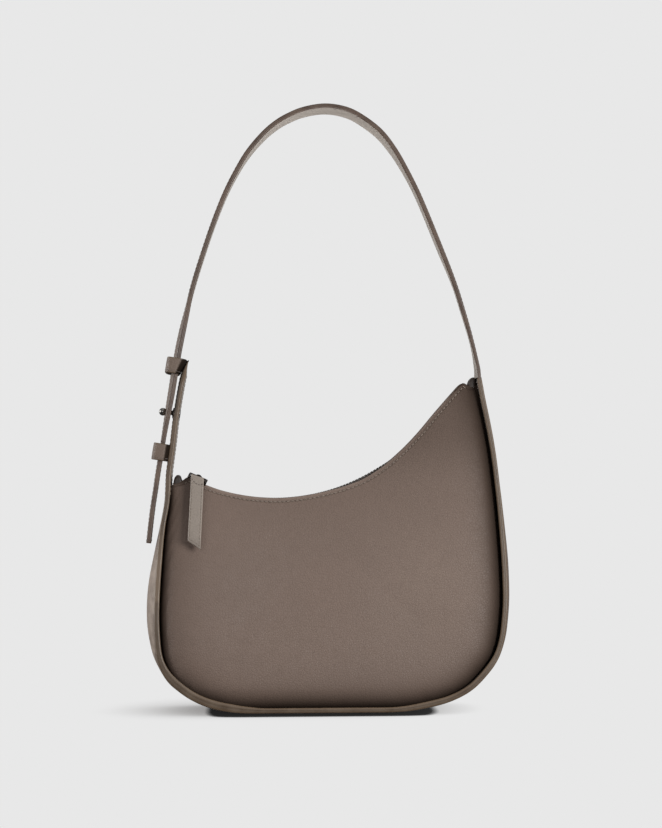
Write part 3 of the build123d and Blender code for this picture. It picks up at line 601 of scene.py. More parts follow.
# random wear, plus painted highlight on the band's left face
w = np.clip(soft_noise(V[:, 0] * 3, V[:, 2] * 3) * 0.5, 0, 1) * 0.15 \
    + 0.85 * smooth01((-100 - V[:, 0]) / 20.0) * bump(V[:, 2], 14, 50, 100, 150) * (np.abs(V[:, 1]) < 26)
# painted shade on the left part of the rim edge
rim_ = np.abs(V[:, 1]) > np.repeat(HY[idx], len(V) // len(idx)) - 1.2
cs = np.maximum(cs, 0.22 * smooth01((-96 - V[:, 0]) / 18.0) * rim_)
gusset = add_mesh("gusset_band", V, F, [M_BAND, M_EDGE, M_INNER], FM, wear_and_highlight=w + wr, shade=cs)
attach(gusset, "bag")
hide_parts("gusset_outer", "gusset_inner")


# ------------------------------------------------------------------ panels
RIM = LINE[SPLIT - 3:] - LN[SPLIT - 3:] * (BAND_T - 0.35)
TOP = resample(TOP_EDGE, 1.2, sigma=1.6)
TT, TN = frames2(TOP)                       # TN points down, into the panel
TOPL = TOP + TN * 1.15                      # main surface ends here, the fold rises to the edge
# clip the rim to the part below the top edge's ends
i0 = int(np.argmin(np.linalg.norm(RIM[:200] - TOPL[0], axis=1)))
i1 = len(RIM) - 200 + int(np.argmin(np.linalg.norm(RIM[-200:] - TOPL[-1], axis=1)))
RIMC = RIM[i0:i1 + 1]
SEAM = RIM[::2]


def panel_depth(X, Z):
    """Half thickness of the filled bag over the front view."""
    dr, sr = poly_dist(X, Z, SEAM)
    dt, st = poly_dist(X, Z, TOPL[::2])
    dr, dt = dr * sr, -dt * st
    wr, wt = np.maximum(dr, 0) + 0.5, np.maximum(dt, 0) + 0.5
    w = wt / (wt + wr)
    seam = half_depth(X, Z) - 3.2
    base = EDGE_Y + (seam - EDGE_Y) * w
    puff = PUFF * (1 - np.exp(-np.maximum(dr, 0) / 13.0)) * (1 - np.exp(-np.maximum(dt, 0) / 42.0))
    return base + puff, dr, dt


NU, NV = 380, 118
u = np.linspace(0, 1, NU)
sr_ = arclen(RIMC); sr_ /= sr_[-1]
st_ = arclen(TOPL); st_ /= st_[-1]
Rp = np.stack([np.interp(u, sr_, RIMC[:, c]) for c in (0, 1)], 1)
Tp = np.stack([np.interp(u, st_, TOPL[:, c]) for c in (0, 1)], 1)
tn = np.stack([np.interp(u, st_, TN[:, c]) for c in (0, 1)], 1)
tn /= np.linalg.norm(tn, axis=1)[:, None]
vv = np.linspace(0, 1, NV)
vv = vv - 0.86 * np.sin(2 * math.pi * vv) / (2 * math.pi)   # denser at the rim and at the top edge
X = Rp[:, None, 0] * (1 - vv) + Tp[:, None, 0] * vv
Z = Rp[:, None, 1] * (1 - vv) + Tp[:, None, 1] * vv
D0, DR, DT = panel_depth(X, Z)


def panel_surface(sign, seed):
    ox, oz = seed
    nz = soft_noise(X + ox, Z + oz)
    fade = (1 - np.exp(-DR / 12)) * (1 - np.exp(-DT / 18))
    D = D0 + 0.55 * nz * fade
    # the seam pulls small puckers into the leather next to the rim
    s_r = np.interp(np.arange(NU), np.arange(NU), u)[:, None] * 560
    puck = np.sin(s_r * 2 * math.pi / 13.0 + 1.7 * np.sin(s_r / 31.0 + ox)) * (0.6 + 0.4 * np.sin(s_r / 47.0 + oz))
    D = D + 0.16 * puck * np.exp(-((DR - 6) / 5.0) ** 2) * (1 - np.exp(-DT / 12))
    D = D - 5.2 * np.exp(-DR / 3.6) * (0.35 + 0.65 * (1 - np.exp(-DT / 16.0)))
    # shallow groove pressed by the stitching along the top edge
    D = D - 0.32 * np.exp(-((DT - 1.75) / 0.6) ** 2)
    return D


FOLD = [(0.0, 0.0), (0.45, 0.08), (0.85, 0.35), (1.12, 0.85), (1.18, 1.45), (1.02, 2.05), (0.6, 2.5),
        (0.0, 2.7), (-2.0, 2.8), (-5.0, 2.8), (-9.0, 2.6)]


def make_panel(name, sign, seed, node):
    D = panel_surface(sign, seed)
    V = np.stack([X, sign * D, Z], -1)
    rows = []
    for h, wd in FOLD[1:]:
        rows.append(np.stack([Tp[:, 0] - tn[:, 0] * h, sign * (D[:, -1] - wd), Tp[:, 1] - tn[:, 1] * h], 1))
    V = np.concatenate([V, np.stack(rows, 1)], 1)
    nv = V.shape[1]
    F = quads(NU, nv)
    if sign < 0:
        F = F
    else:
        F = F[:, ::-1]
    j = np.tile(np.arange(nv - 1), NU - 1)
    fm = np.where(j >= NV + 5, 1, 0)
    wear_and_highlight = np.zeros((NU, nv))
    # painted highlight along the top fold, stronger towards the left, and a broad painted highlight right of the
    # middle
    lit = smooth01((60.0 - Tp[:, 0]) / 60.0)
    wear_and_highlight[:, :NV] = (0.15 + 0.30 * lit)[:, None] * np.exp(-DT / 0.9) \
        + 0.30 * np.exp(-((X - 75.0) / 50.0) ** 2 - ((Z - 98.0) / 50.0) ** 2)
    wear_and_highlight[:, NV:NV + 5] = (0.12 + 0.38 * lit)[:, None]
    # painted shade where the leather turns down into the seam: a narrow dark line at the left, a wide roll at the
    # right and below
    shade = np.zeros((NU, nv))
    dr = np.maximum(DR, 0)
    right = smooth01((X + 100.0) / 150.0)
    below = smooth01((46.0 - Z) / 30.0) * smooth01((118.0 - np.abs(X)) / 40.0)
    s_left = 0.42 * np.exp(-dr / 15.0) + 0.58 * np.exp(-(dr / 2.7) ** 2)
    s_right = np.exp(-(dr / 13.0) ** 1.5) - 0.28 * np.exp(-(dr / 2.0) ** 2)
    s_below = np.exp(-(dr / 11.5) ** 1.8)
    tone = (1 - below) * (s_left * (1 - right) + s_right * right) + below * s_below
    # painted shade over the upper right of the panel, and faintly along the top edge
    corner = 0.22 * smooth01((Z - 168.0) / 45.0) * smooth01((X - 15.0) / 45.0) + 0.07 * np.exp(-DT / 22.0)
    tone = 1 - (1 - tone) * (1 - corner)
    # painted shade on the two upper ends of the panel, in the dark of the folded corner
    ends = np.maximum(0.75 * smooth01((X - 95.0) / 10.0), 0.70 * smooth01((-99.0 - X) / 7.0)) * np.exp(-np.maximum(DT, 0) / 3.2)
    tone = np.maximum(tone, ends)
    # painted shade along the pressed line of the stitching
    tone = 1 - (1 - tone) * (1 - 0.34 * np.exp(-((DT - 1.75) / 0.42) ** 2))
    shade[:, :NV] = np.clip(tone, 0, 1)
    # painted shade on the top fold at both ends, faint along the rest
    shade[:, NV:NV + 5] = np.maximum(0.05, np.maximum(0.80 * smooth01((Tp[:, 0] - 88.0) / 14.0),
                                                      0.72 * smooth01((-99.0 - Tp[:, 0]) / 5.0)))[:, None]
    ob = add_mesh(name, V.reshape(-1, 3), F, [M_PANEL, M_INNER], fm, wear_and_highlight=wear_and_highlight.ravel(), shade=shade.ravel())
    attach(ob, "bag")
    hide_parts(node)
    # stitches along the edge
    off = 2.9
    L = TOP[6:-6] + TN[6:-6] * off
    d, _, _ = panel_depth(L[:, 0], L[:, 1])
    P3 = np.stack([L[:, 0], sign * (d - 0.05), L[:, 1]], 1)
    Q, T = along(P3, 3.3, 2.0, 2.0)
    dn, _, _ = panel_depth(Q[:, 0] + 0.5, Q[:, 2])
    dm, _, _ = panel_depth(Q[:, 0] - 0.5, Q[:, 2])
    du, _, _ = panel_depth(Q[:, 0], Q[:, 2] + 0.5)
    dd, _, _ = panel_depth(Q[:, 0], Q[:, 2] - 0.5)
    Nn = np.stack([-(dn - dm) * 1.0, np.full(len(Q), 1.0 * sign), -(du - dd)], 1)
    Nn[:, 0] *= 1.0
    Nn /= np.linalg.norm(Nn, axis=1)[:, None]
    v, f = stitches(Q, T, Nn, 2.3, 0.44, -0.02)
    so = add_mesh(name + "_stitching", v, f, [M_THREAD_P])
    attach(so, "bag")
    return ob, D


front, DF = make_panel("front_panel_leather", -1, (0.0, 0.0), "front_panel")
back, DB = make_panel("back_panel_leather", 1, (311.0, 97.0), "back_panel")


# ------------------------------------------------------------------ zip
def zp(r, a):
    r = r + 1.2 * smooth01((np.asarray(a, float) - 30.0) / 16.0)   # the chain sinks a little towards its open end
    a = np.radians(a)
    return np.stack([ZIP_C[0] + r * np.sin(a), ZIP_C[1] - r * np.cos(a)], -1)


A0, A1 = -26.2, 58.0
AS = -23.4                                   # slider at rest
pitch = math.degrees(2.6 / ZIP_R)
for sign, node, nm in ((-1, "front_zip_tape", "zip_tape_front"), (1, "back_zip_tape", "zip_tape_back")):
    a = np.linspace(A0, A1, 160)
    prof = [(0.55, 0.55), (0.55, -0.15), (3.0, -0.2), (4.6, -0.6), (4.6, 0.2), (3.0, 0.5), (1.6, 0.9)]
    V = []
    for y, r in prof:
        p = zp(ZIP_R + r, a)
        V.append(np.stack([p[:, 0], np.full(len(a), sign * y), p[:, 1]], 1))
    V = np.stack(V, 1)
    F = quads(len(a), len(prof), close_v=True)
    if sign > 0:
        F = F[:, ::-1]
    ob = add_mesh(nm, V.reshape(-1, 3), F, [M_TAPE])
    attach(ob, "bag")
    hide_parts(node)

# one tooth: a rounded block with a narrower head that reaches past the middle
TV = []
for y, hw, hr in ((3.1, 0.42, 0.75), (2.6, 0.58, 1.0), (0.9, 0.60, 1.05), (0.35, 0.46, 0.95), (-0.3, 0.50, 1.0),
                  (-0.62, 0.34, 0.7)):
    for sa, sb in ((-1, -0.6), (-0.6, -1), (0.6, -1), (1, -0.6), (1, 0.6), (0.6, 1), (-0.6, 1), (-1, 0.6)):
        TV.append((sa * hw, y, sb * hr))
TV = np.array(TV)
TF = quads(6, 8, close_v=True)
TCAP = np.array([[0, 1, 2, 3], [0, 3, 4, 7], [7, 4, 5, 6]])
TF = np.vstack([TF, TCAP, TCAP[:, ::-1] + 40])
n_teeth = int((57.0 + 23.4 - 1.0) / pitch)
for sign, node, nm, ph in ((-1, "front_zip_teeth", "zip_teeth_front", 0.0), (1, "back_zip_teeth", "zip_teeth_back", 0.5)):
    V, F = [], []
    for k in range(n_teeth):
        a = AS + 1.2 + (k + ph) * pitch
        c = zp(ZIP_R - 0.6, a)
        ca, sa = math.cos(math.radians(a)), math.sin(math.radians(a))
        x = c[0] + TV[:, 0] * ca - TV[:, 2] * sa
        z = c[1] + TV[:, 0] * sa + TV[:, 2] * ca
        V.append(np.stack([x, sign * TV[:, 1], z], 1))
        F.append((TF if sign < 0 else TF[:, ::-1]) + k * len(TV))
    ob = add_mesh(nm, np.vstack(V), np.vstack(F), [M_ZIP])
    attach(ob, "bag")
    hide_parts(node)


def bevel(ob, w, seg=3, angle=0.6):
    m = ob.modifiers.new("bevel", "BEVEL")
    m.width = w * 0.001
    m.segments = seg
    m.limit_method = "ANGLE"
    m.angle_limit = angle
    return ob


def apply_mods(ob):
    dg = bpy.context.evaluated_depsgraph_get()
    me = bpy.data.meshes.new_from_object(ob.evaluated_get(dg))
    old = ob.data
    ob.modifiers.clear()
    ob.data = me
    bpy.data.meshes.remove(old)
    return ob


def prism(outline, h0, h1, O, ex, ey, ez):
    """Closed prism of a convex 2-D outline in the frame (O; ex, ey, ez), from h0 to h1."""
    n = len(outline)
    P = np.array(outline)
    V = np.vstack([O + np.outer(P[:, 0], ex) + np.outer(P[:, 1], ey) + h * np.asarray(ez) for h in (h0, h1)])
    F4 = np.array([[i, (i + 1) % n, n + (i + 1) % n, n + i] for i in range(n)])
    return V, F4, [list(range(n))[::-1], list(range(n, 2 * n))]


def ngon_mesh(name, parts, mats, smooth=False):
    """Mesh from prisms with n-gon caps."""
    V, faces, fm, o = [], [], [], 0
    for (v, f4, caps), m in parts:
        V.append(v)
        for f in f4:
            faces.append([int(k) + o for k in f]); fm.append(m)
        for c in caps:
            faces.append([k + o for k in c]); fm.append(m)
        o += len(v)
    me = bpy.data.meshes.new(name)
    me.from_pydata((np.vstack(V) * 0.001).tolist(), [], faces)
    for m in mats:
        me.materials.append(m)
    for p, m in zip(me.polygons, fm):
        p.material_index = m
        p.use_smooth = smooth
    me.update()
    ob = bpy.data.objects.new(name, me)
    bpy.context.scene.collection.objects.link(ob)
    return ob


# stops
for nm, node, aa, ys in (("zip_stops_closed", "zip_top_stops", -25.8, (-1.7, 1.7)), ("zip_stop_open", "zip_bottom_stop", 57.6, (0.0,))):
    parts = []
    for y in ys:
        c = zp(ZIP_R - 0.7, aa)
        ex = np.array([math.cos(math.radians(aa)), 0, math.sin(math.radians(aa))])
        ez = np.array([-ex[2], 0, ex[0]])
        hw = 1.1 if len(ys) > 1 else 2.5
        o = [(-1.0, -hw), (1.0, -hw), (1.0, hw), (-1.0, hw)]
        parts.append((prism(o, -0.9, 0.9, np.array([c[0], y, c[1]]), ex, np.array([0, 1, 0]), ez), 0))
    ob = apply_mods(bevel(ngon_mesh(nm, parts, [M_ZIP]), 0.4))
    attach(ob, "bag")
    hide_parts(node)

# slider frame: ux along the zip, uz up off the teeth
SL = zp(ZIP_R, AS)
SL = np.array([SL[0], 0, SL[1]])
ux = np.array([math.cos(math.radians(AS)), 0, math.sin(math.radians(AS))])
uz = np.array([-ux[2], 0, ux[0]])
uy = np.array([0.0, 1.0, 0.0])
wing = [(-4.6, -2.2), (-3.9, -3.3), (-1.0, -4.1), (2.6, -3.9), (4.4, -2.9), (4.9, 0), (4.4, 2.9), (2.6, 3.9),
        (-1.0, 4.1), (-3.9, 3.3), (-4.6, 2.2)]
lower = [(x * 0.92, y * 0.92) for x, y in wing]
parts = [(prism(wing, 1.7, 3.0, SL, ux, uy, uz), 0), (prism(lower, -3.3, -2.35, SL, ux, uy, uz), 0)]
slider = apply_mods(bevel(ngon_mesh("zip_slider_body", parts, [M_DARK]), 0.45))
# bridge: an arch along the zip that holds the ring's back bar
tt = np.linspace(0, math.pi, 17)
bx, bz = 3.1 * np.cos(tt), 2.6 + 4.2 * np.sin(tt) ** 0.8
V, n = [], 8
for k in range(len(tt)):
    T = np.array([-math.sin(tt[k]), math.cos(tt[k])])
    Nn = np.array([T[1], -T[0]])
    for q in range(n):
        a = 2 * math.pi * q / n
        rr, ry = 0.62 * math.cos(a), 1.15 * math.sin(a)
        V.append(SL + ux * (bx[k] + Nn[0] * rr) + uz * (bz[k] + Nn[1] * rr) + uy * ry)
bridge = add_mesh("zip_slider_bridge", np.array(V), quads(len(tt), n, close_v=True), [M_DARK])
for ob in (slider, bridge):
    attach(ob, "slider")
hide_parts("zip_slider")


def tube(name, P, r, mat, closed=False, n=12, flat=None):
    """Round wire along a 3-D line."""
    P = np.asarray(P, float)
    T = (np.roll(P, -1, 0) - np.roll(P, 1, 0)) if closed else np.gradient(P, axis=0)
    T /= np.linalg.norm(T, axis=1)[:, None]
    up = np.array([0, 0.0, 1.0]) if flat is None else np.asarray(flat, float)
    A = np.cross(T, up)
    A /= np.linalg.norm(A, axis=1)[:, None]
    B = np.cross(A, T)
    a = np.arange(n) * 2 * math.pi / n
    V = P[:, None] + r * (np.cos(a)[None, :, None] * A[:, None] + np.sin(a)[None, :, None] * B[:, None])
    F = quads(len(P), n, close_u=closed, close_v=True)
    if not closed:
        F = np.vstack([F])
    return add_mesh(name, V.reshape(-1, 3), F, [mat])


# wire ring: rounded rectangle, slightly bowed
hw, rl, rc = 6.7, float(abs(TAB_PIV[1] - RING_PIV[1])), 2.6
pts = []
for cx, cy, a0 in ((hw - rc, rl - rc, 0), (-hw + rc, rl - rc, 90), (-hw + rc, rc, 180), (hw - rc, rc, 270)):
    for k in range(9):
        a = math.radians(a0 + k * 90 / 8)
        pts.append((cx + rc * math.cos(a), cy + rc * math.sin(a)))
pts = np.array(pts)
tr = np.clip(pts[:, 1] / rl, 0, 1)
bow = 0.3 * np.sin(tr * math.pi) - 1.0 * tr
RP = RING_PIV + np.outer(pts[:, 0], ux) + np.outer(-pts[:, 1], uy) + np.outer(bow, uz)
# densify the straight runs
q = []
for k in range(len(RP)):
    a, b = RP[k], RP[(k + 1) % len(RP)]
    m = max(1, int(np.linalg.norm(b - a) / 1.0))
    for j in range(m):
        q.append(a + (b - a) * j / m)
q = np.array(q)
# the wire dips on its way from the tab back over the edge of the leather
loc = (q - RING_PIV) @ ux
back_ = -(q - RING_PIV)[:, 1]
q = q - uz * (np.where(loc > 0, 3.3, 1.0) * smooth01((np.abs(loc) - 4.9) / 1.6) * np.exp(-((back_ - 10.4) / 1.9) ** 2))[:, None]
q = q - uz * (1.3 * smooth01((-loc - 3.6) / 2.6) * smooth01((back_ - 4.0) / 7.0))[:, None]
ring = tube("pull_ring_wire", q, 0.8, M_DARK, closed=True, n=14, flat=uz)
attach(ring, "ring")
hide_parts("pull_ring")

# pull tab: one strip folded over the wire, two layers stitched together, both ends cut at a slant
LC = TAB_PIV + np.array([-0.5, 0.0, -1.0])
BC = np.array([-98.6, -29.3, 125.3])
TABL = float(np.linalg.norm(BC - LC))
down = (BC - LC) / TABL
tx = np.array([1.0, 0.0, 0.0]) - down[0] * down
tx /= np.linalg.norm(tx)
fwd = np.cross(tx, down)
if fwd[1] > 0:
    fwd = -fwd
HALF_T, LOOP_R, HALF_W = 1.65, 1.8, 4.85


def tab_point(d, w, f):
    """Point of the tab: d down from the loop's centre, w across, f towards the front."""
    d, w, f = np.broadcast_arrays(np.asarray(d, float), np.asarray(w, float), np.asarray(f, float))
    skew = 0.294 + 0.37 * np.clip(d / TABL, 0, 1)
    return LC + (d + skew * w)[..., None] * down + w[..., None] * tx + f[..., None] * fwd


prof = [(-LOOP_R * math.sin(a), LOOP_R * math.cos(a)) for a in np.linspace(0, math.pi, 13)]
fr = [(3.0, -LOOP_R), (6.0, -HALF_T), (14, -HALF_T), (22, -HALF_T), (32, -HALF_T), (42, -HALF_T),
      (TABL - 0.7, -HALF_T + 0.05), (TABL - 0.1, -HALF_T + 0.5), (TABL, -0.12), (TABL, 0.12),
      (TABL - 0.1, HALF_T - 0.5), (TABL - 0.7, HALF_T - 0.05), (42, HALF_T), (32, HALF_T), (22, HALF_T),
      (14, HALF_T), (6.0, HALF_T), (3.0, LOOP_R)]
prof = np.array(prof + fr)
wu = [(-1.0, 0.55, .8), (-0.985, 0.86, .9), (-0.93, 0.99, .5), (-0.82, 1.0, 0), (-0.4, 1.02, 0), (0, 1.03, 0),
      (0.4, 1.02, 0), (0.82, 1.0, 0), (0.93, 0.99, .5), (0.985, 0.86, .9), (1.0, 0.55, .8)]
V = np.stack([tab_point(prof[:, 0], wv * HALF_W, prof[:, 1] * sc) for wv, sc, _ in wu], 0)
nw, npf = V.shape[:2]
F = quads(nw, npf, close_v=True)
fm = np.zeros(len(F), int)
ii = np.repeat(np.arange(nw - 1), npf)
jj = np.tile(np.arange(npf), nw - 1)
fm[(ii < 1) | (ii >= nw - 2)] = 1
fm[(jj >= 20) & (jj <= 22)] = 1
half = npf // 2
caps = []
for base, flip in ((0, True), ((nw - 1) * npf, False)):
    a = base + (6 + np.arange(half)) % npf
    b = base + (6 - 1 - np.arange(half)) % npf
    f = np.stack([a[:-1], a[1:], b[1:], b[:-1]], 1)
    caps.append(f[:, ::-1] if flip else f)
F = np.vstack([F] + caps)
fm = np.concatenate([fm] + [np.ones(len(c), int) for c in caps])
# lighter along the rounded long edges: edge wear and painted highlight
wear_and_highlight = np.tile(np.array([w_ for _, _, w_ in wu])[:, None] * 0.6, (1, npf)).ravel()
pull = add_mesh("pull_tab_leather", V.reshape(-1, 3), F[:, ::-1], [M_PULL, M_EDGE_L], fm, wear_and_highlight=wear_and_highlight)
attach(pull, "tab")
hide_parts("pull_tab")
parts = []
e_ = HALF_W - 1.15
for sgn in (1, -1):
    runs = [((5.4, -e_), (TABL - 2.2, -e_)), ((5.4, e_), (TABL - 2.2, e_)), ((TABL - 2.2, -e_), (TABL - 2.2, e_))]
    lines = [tab_point(np.linspace(a[0], b[0], 40), np.linspace(a[1], b[1], 40), sgn * (HALF_T + 0.04)) for a, b in runs]
    # the short row that holds the wire in the fold is a shallow curve
    wq = np.linspace(-e_, e_, 40)
    lines.append(tab_point(5.0 - 1.7 * (wq / e_) ** 2 + 0.6 * wq / e_, wq, sgn * (HALF_T + 0.10)))
    for k, L in enumerate(lines):
        Q, T = along(L, 2.5 if k < 2 else 1.9)
        v, f = stitches(Q, T, np.tile(fwd * sgn, (len(Q), 1)), 1.75 if k < 2 else 1.4, 0.27 if k < 3 else 0.40, 0.02)
        parts.append((v, f, 1 if k == 3 else 0))
v, f, fm_ = merge(parts)
ob = add_mesh("pull_tab_stitching", v, f, [M_THREAD, M_THREAD_T], fm_)
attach(ob, "tab")

# ------------------------------------------------------------------ strap
SP = resample(STRAP_LINE, STEP, sigma=2.5)
ST_, SN = frames2(SP)
if SN[len(SP) // 2, 1] < 0:
    SN = -SN                                 # outwards, away from the loop
ss = arclen(SP)
S_T = 3.4
# small inset where the root sits between the band's layers
inset = 0.5 * (1 - smooth01((ss - 9.0) / 9.0))
left_leg = (SP[:, 0] < -60)
# the strap turns a little about its own length: almost edge-on on the legs, open above the stud
zz = SP[:, 1]
tw_l = 2.4 * (1 - smooth01((zz - 395) / 50.0)) + 6.0 * smooth01((318 - zz) / 34.0) * smooth01((zz - 193) / 50.0)
tw_r = 7.5 * smooth01((zz - 244) / 36.0) * (1 - 0.4 * smooth01((zz - 320) / 30.0)) * (1 - smooth01((zz - 400) / 45.0))
twist = gsmooth(np.radians(np.where(SP[:, 0] < 0, tw_l, tw_r)), 6, STEP)
keep_edge = 12.0 * np.sin(np.where(SP[:, 0] < 0, np.minimum(twist, math.radians(2.4)), twist))
halfw = 12.0 * np.ones(len(SP))
# skived thinner where it goes in between the layers of the band
thin = np.where(SP[:, 0] > 60, 0.74 + 0.26 * smooth01((zz - 262) / 46.0), 1.0)


def strap_sections():
    W = []
    edge = [(-0.9, 0.0), (-0.3, -0.15), (0.0, -0.6), (0.12, -S_T * 0.34), (0.0, -S_T * 0.46), (0.0, -S_T * 0.54),
            (0.12, -S_T * 0.66), (0.0, -S_T + 0.6), (-0.3, -S_T + 0.15), (-0.9, -S_T)]
    ys = np.linspace(-1, 1, 13)[1:-1]
    for k in range(len(SP)):
        hw_ = halfw[k]
        yy = ys * (hw_ - 0.9)
        crown = 0.16 * (1 - ys ** 2)
        sec = [(y, c, 0) for y, c in zip(yy, crown)] + [(hw_ + a, v, 1) for a, v in edge] \
            + [(y, -S_T - c * 0.5, 2) for y, c in zip(yy[::-1], crown[::-1])] + [(-hw_ - a, v, 1) for a, v in edge[::-1]]
        W.append(sec)
    return np.array(W)


SEC = strap_sections()
kind = SEC[0, :, 2].astype(int)


def strap_point(k, y, o):
    """Point of the strap at station k (may be fractional), across y, outward offset o."""
    f = np.clip(np.asarray(k, float), 0, len(SP) - 1)
    i = np.minimum(f.astype(int), len(SP) - 2)
    t = (f - i)[..., None]
    P = SP[i] * (1 - t) + SP[i + 1] * t
    Nn = SN[i] * (1 - t) + SN[i + 1] * t
    Nn = Nn / np.linalg.norm(Nn, axis=-1, keepdims=True)
    tw = twist[i] * (1 - t[..., 0]) + twist[i + 1] * t[..., 0]
    ins = inset[i] * (1 - t[..., 0]) + inset[i + 1] * t[..., 0]
    th_ = thin[i] * (1 - t[..., 0]) + thin[i + 1] * t[..., 0]
    o = np.where(o < 0, o * th_, o) - ins + S_T / 2
    c, s = np.cos(tw), np.sin(tw)
    # turn the section about its middle so that the outer face looks a little to the front
    yy, oo = y * c + o * -s, y * s + o * c
    oo = oo - S_T / 2 + keep_edge[i] * (1 - t[..., 0]) + keep_edge[i + 1] * t[..., 0]
    return np.stack([P[..., 0] + Nn[..., 0] * oo, yy, P[..., 1] + Nn[..., 1] * oo], -1)


K = np.repeat(np.arange(len(SP)), SEC.shape[1]).astype(float)
Vs = strap_point(K, SEC[:, :, 0].ravel(), SEC[:, :, 1].ravel())
nv = SEC.shape[1]
# both ends, the root and the free end, closed with flat caps
endk = len(SP) - 1
F = quads(len(SP), nv, close_v=True)
j = np.tile(np.arange(nv), len(SP) - 1)
k0, k1 = kind[j], kind[(j + 1) % nv]
fm = np.where((k0 == 1) & (k1 == 1), 1, np.where((k0 == 2) | (k1 == 2), 2, 0))
caps = []
for base in (0, endk * nv):
    n = nv // 2
    a = base + np.arange(n)
    b = base + (nv - 1 - np.arange(n))
    f = np.stack([a[:-1], a[1:], b[1:], b[:-1]], 1)
    caps.append(f if base else f[:, ::-1])
F = np.vstack([F] + caps)
fm = np.concatenate([fm] + [np.ones(len(c), int) for c in caps])
wear_and_highlight = np.clip(soft_noise(Vs[:, 0] * 2.2, Vs[:, 2] * 2.2), 0, 1) * 0.2
strap = add_mesh("strap_leather", Vs, F, [M_BAND, M_EDGE_D, M_INNER], fm, wear_and_highlight=wear_and_highlight)
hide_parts("strap_outer", "strap_lining")
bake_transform(strap)
# strap stitching: both faces, both edges
parts = []
k_lo, k_hi = int(14 / STEP), len(SP) - 1 - int(3 / STEP)
for y in (-9.3, 9.3):
    for o, sg in ((0.13, 1), (-S_T - 0.07, -1)):
        kk = np.linspace(k_lo, k_hi, (k_hi - k_lo) * 2)
        L = strap_point(kk, np.full(len(kk), y), np.full(len(kk), o))
        L2 = strap_point(kk, np.full(len(kk), y), np.full(len(kk), o + sg))
        Q, T = along(L, 3.3)
        s1 = arclen(L)
        q = np.linspace(0, s1[-1], len(Q))
        Nn = np.stack([np.interp(q, s1, (L2 - L)[:, c]) for c in range(3)], 1)
        Nn /= np.linalg.norm(Nn, axis=1)[:, None]
        parts.append((*stitches(Q, T, Nn, 2.4, 0.30 if sg > 0 else 0.24, 0.08), 0 if sg > 0 else 1))
# stitches across the free end
for o, sg in ((0.13, 1), (-S_T - 0.07, -1)):
    kk = np.full(12, k_hi, float)
    yy = np.linspace(-9.3, 9.3, 12)
    L = strap_point(kk, yy, np.full(12, o))
    L2 = strap_point(kk, yy, np.full(12, o + sg))
    Q, T = along(L, 3.1)
    Nn = np.tile((L2 - L).mean(0), (len(Q), 1))
    Nn /= np.linalg.norm(Nn, axis=1)[:, None]
    parts.append((*stitches(Q, T, Nn, 2.4, 0.36, 0.0), 0))
v, f, m_ = merge(parts)
st = st_strap = add_mesh("strap_stitching", v, f, [M_THREAD, M_THREAD_I], m_)
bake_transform(st)

# ------------------------------------------------------------------ stud tab
idx = np.arange(0, SPLIT + 1)
tip_len = 21.0


def tab_shape(k, i):
    d = ls[i] - ls[0]
    t = np.clip(d / tip_len, 0, 1)
    w = 0.10 + 0.90 * (1 - (1 - t) ** 1.55)
    th = 0.16 + 0.84 * smooth01((d + 1.0) / 14.5)
    return w, th


V, F, FM, nvb, wr, cs = sweep_band(idx, tab_shape, (True, False))
w = np.clip(soft_noise(V[:, 0] * 3, V[:, 2] * 3) * 0.5, 0, 1) * 0.15
# painted shade: the section's painted shade is kept only on the part inside the corner
low = smooth01((182.0 - V[:, 2]) / 12.0)     # only the part inside the corner is in deep shade
cs2 = (cs * low).reshape(-1, nvb)
zs = LINE[idx, 1]
# painted shade on the outer part of both edges towards the tab's tip
dk = smooth01((zs - 214.0) / 16.0)
for q0, amp in ((nvb - 1, 0.95), (nvb - 2, 0.95), (nvb - 3, 0.9), (nvb - 4, 0.5), (23, 0.95), (24, 0.95), (25, 0.9), (26, 0.5)):
    cs2[:, q0] = np.maximum(cs2[:, q0], dk * amp)
tab = add_mesh("stud_tab_leather", V, F, [M_BAND, M_EDGE, M_INNER], FM, wear_and_highlight=w + wr, shade=cs2.ravel())
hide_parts("stud_tab_outer", "stud_tab_lining")
T0 = np.array([LINE[SPLIT, 0], 0, LINE[SPLIT, 1]])
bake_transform(tab)
# stitching along both edges of the tab, both faces; the band's long seams get none
parts_tab, parts_band = [], []
for lo_i, hi_i, store in ((8, SPLIT + 1, parts_tab), (SPLIT + 1, len(LINE) - 2, parts_band)):
    ii = np.arange(lo_i, hi_i)
    for sy in (-1, 1):
        shp = np.array([tab_shape(0, i) if store is parts_tab else (1, 1) for i in ii])
        y = sy * (HY[ii] * shp[:, 0] - 2.7)
        keep = np.abs(y) > 1.0
        qv = y / HY[ii]
        o = BULGE[ii] * (1 - qv ** 2) - LIFT[ii] * np.abs(qv) ** 3 + 0.02
        P = np.stack([LINE[ii, 0] + LN[ii, 0] * o, y, LINE[ii, 1] + LN[ii, 1] * o], 1)[keep]
        Nn0 = np.stack([LN[ii, 0], np.zeros(len(ii)), LN[ii, 1]], 1)[keep]
        Nn0[:, 1] = sy * 0.12
        Q, T = along(P, 3.3)
        s1 = arclen(P)
        q = np.linspace(0, s1[-1], len(Q))
        Nn = np.stack([np.interp(q, s1, Nn0[:, c]) for c in range(3)], 1)
        Nn /= np.linalg.norm(Nn, axis=1)[:, None]
        if store is parts_band:
            continue                              # the band's long seams are turned in
        store.append((*stitches(Q, T, Nn, 2.5, 0.38, 0.0), 0))
        if store is parts_tab:
            o2 = -BAND_T * shp[:, 1] - 0.02
            P = np.stack([LINE[ii, 0] + LN[ii, 0] * o2, y, LINE[ii, 1] + LN[ii, 1] * o2], 1)[keep]
            Q, T = along(P, 3.3)
            store.append((*stitches(Q, T, -Nn[:len(Q)], 2.5, 0.38, 0.0), 0))
v, f, m_ = merge(parts_tab)
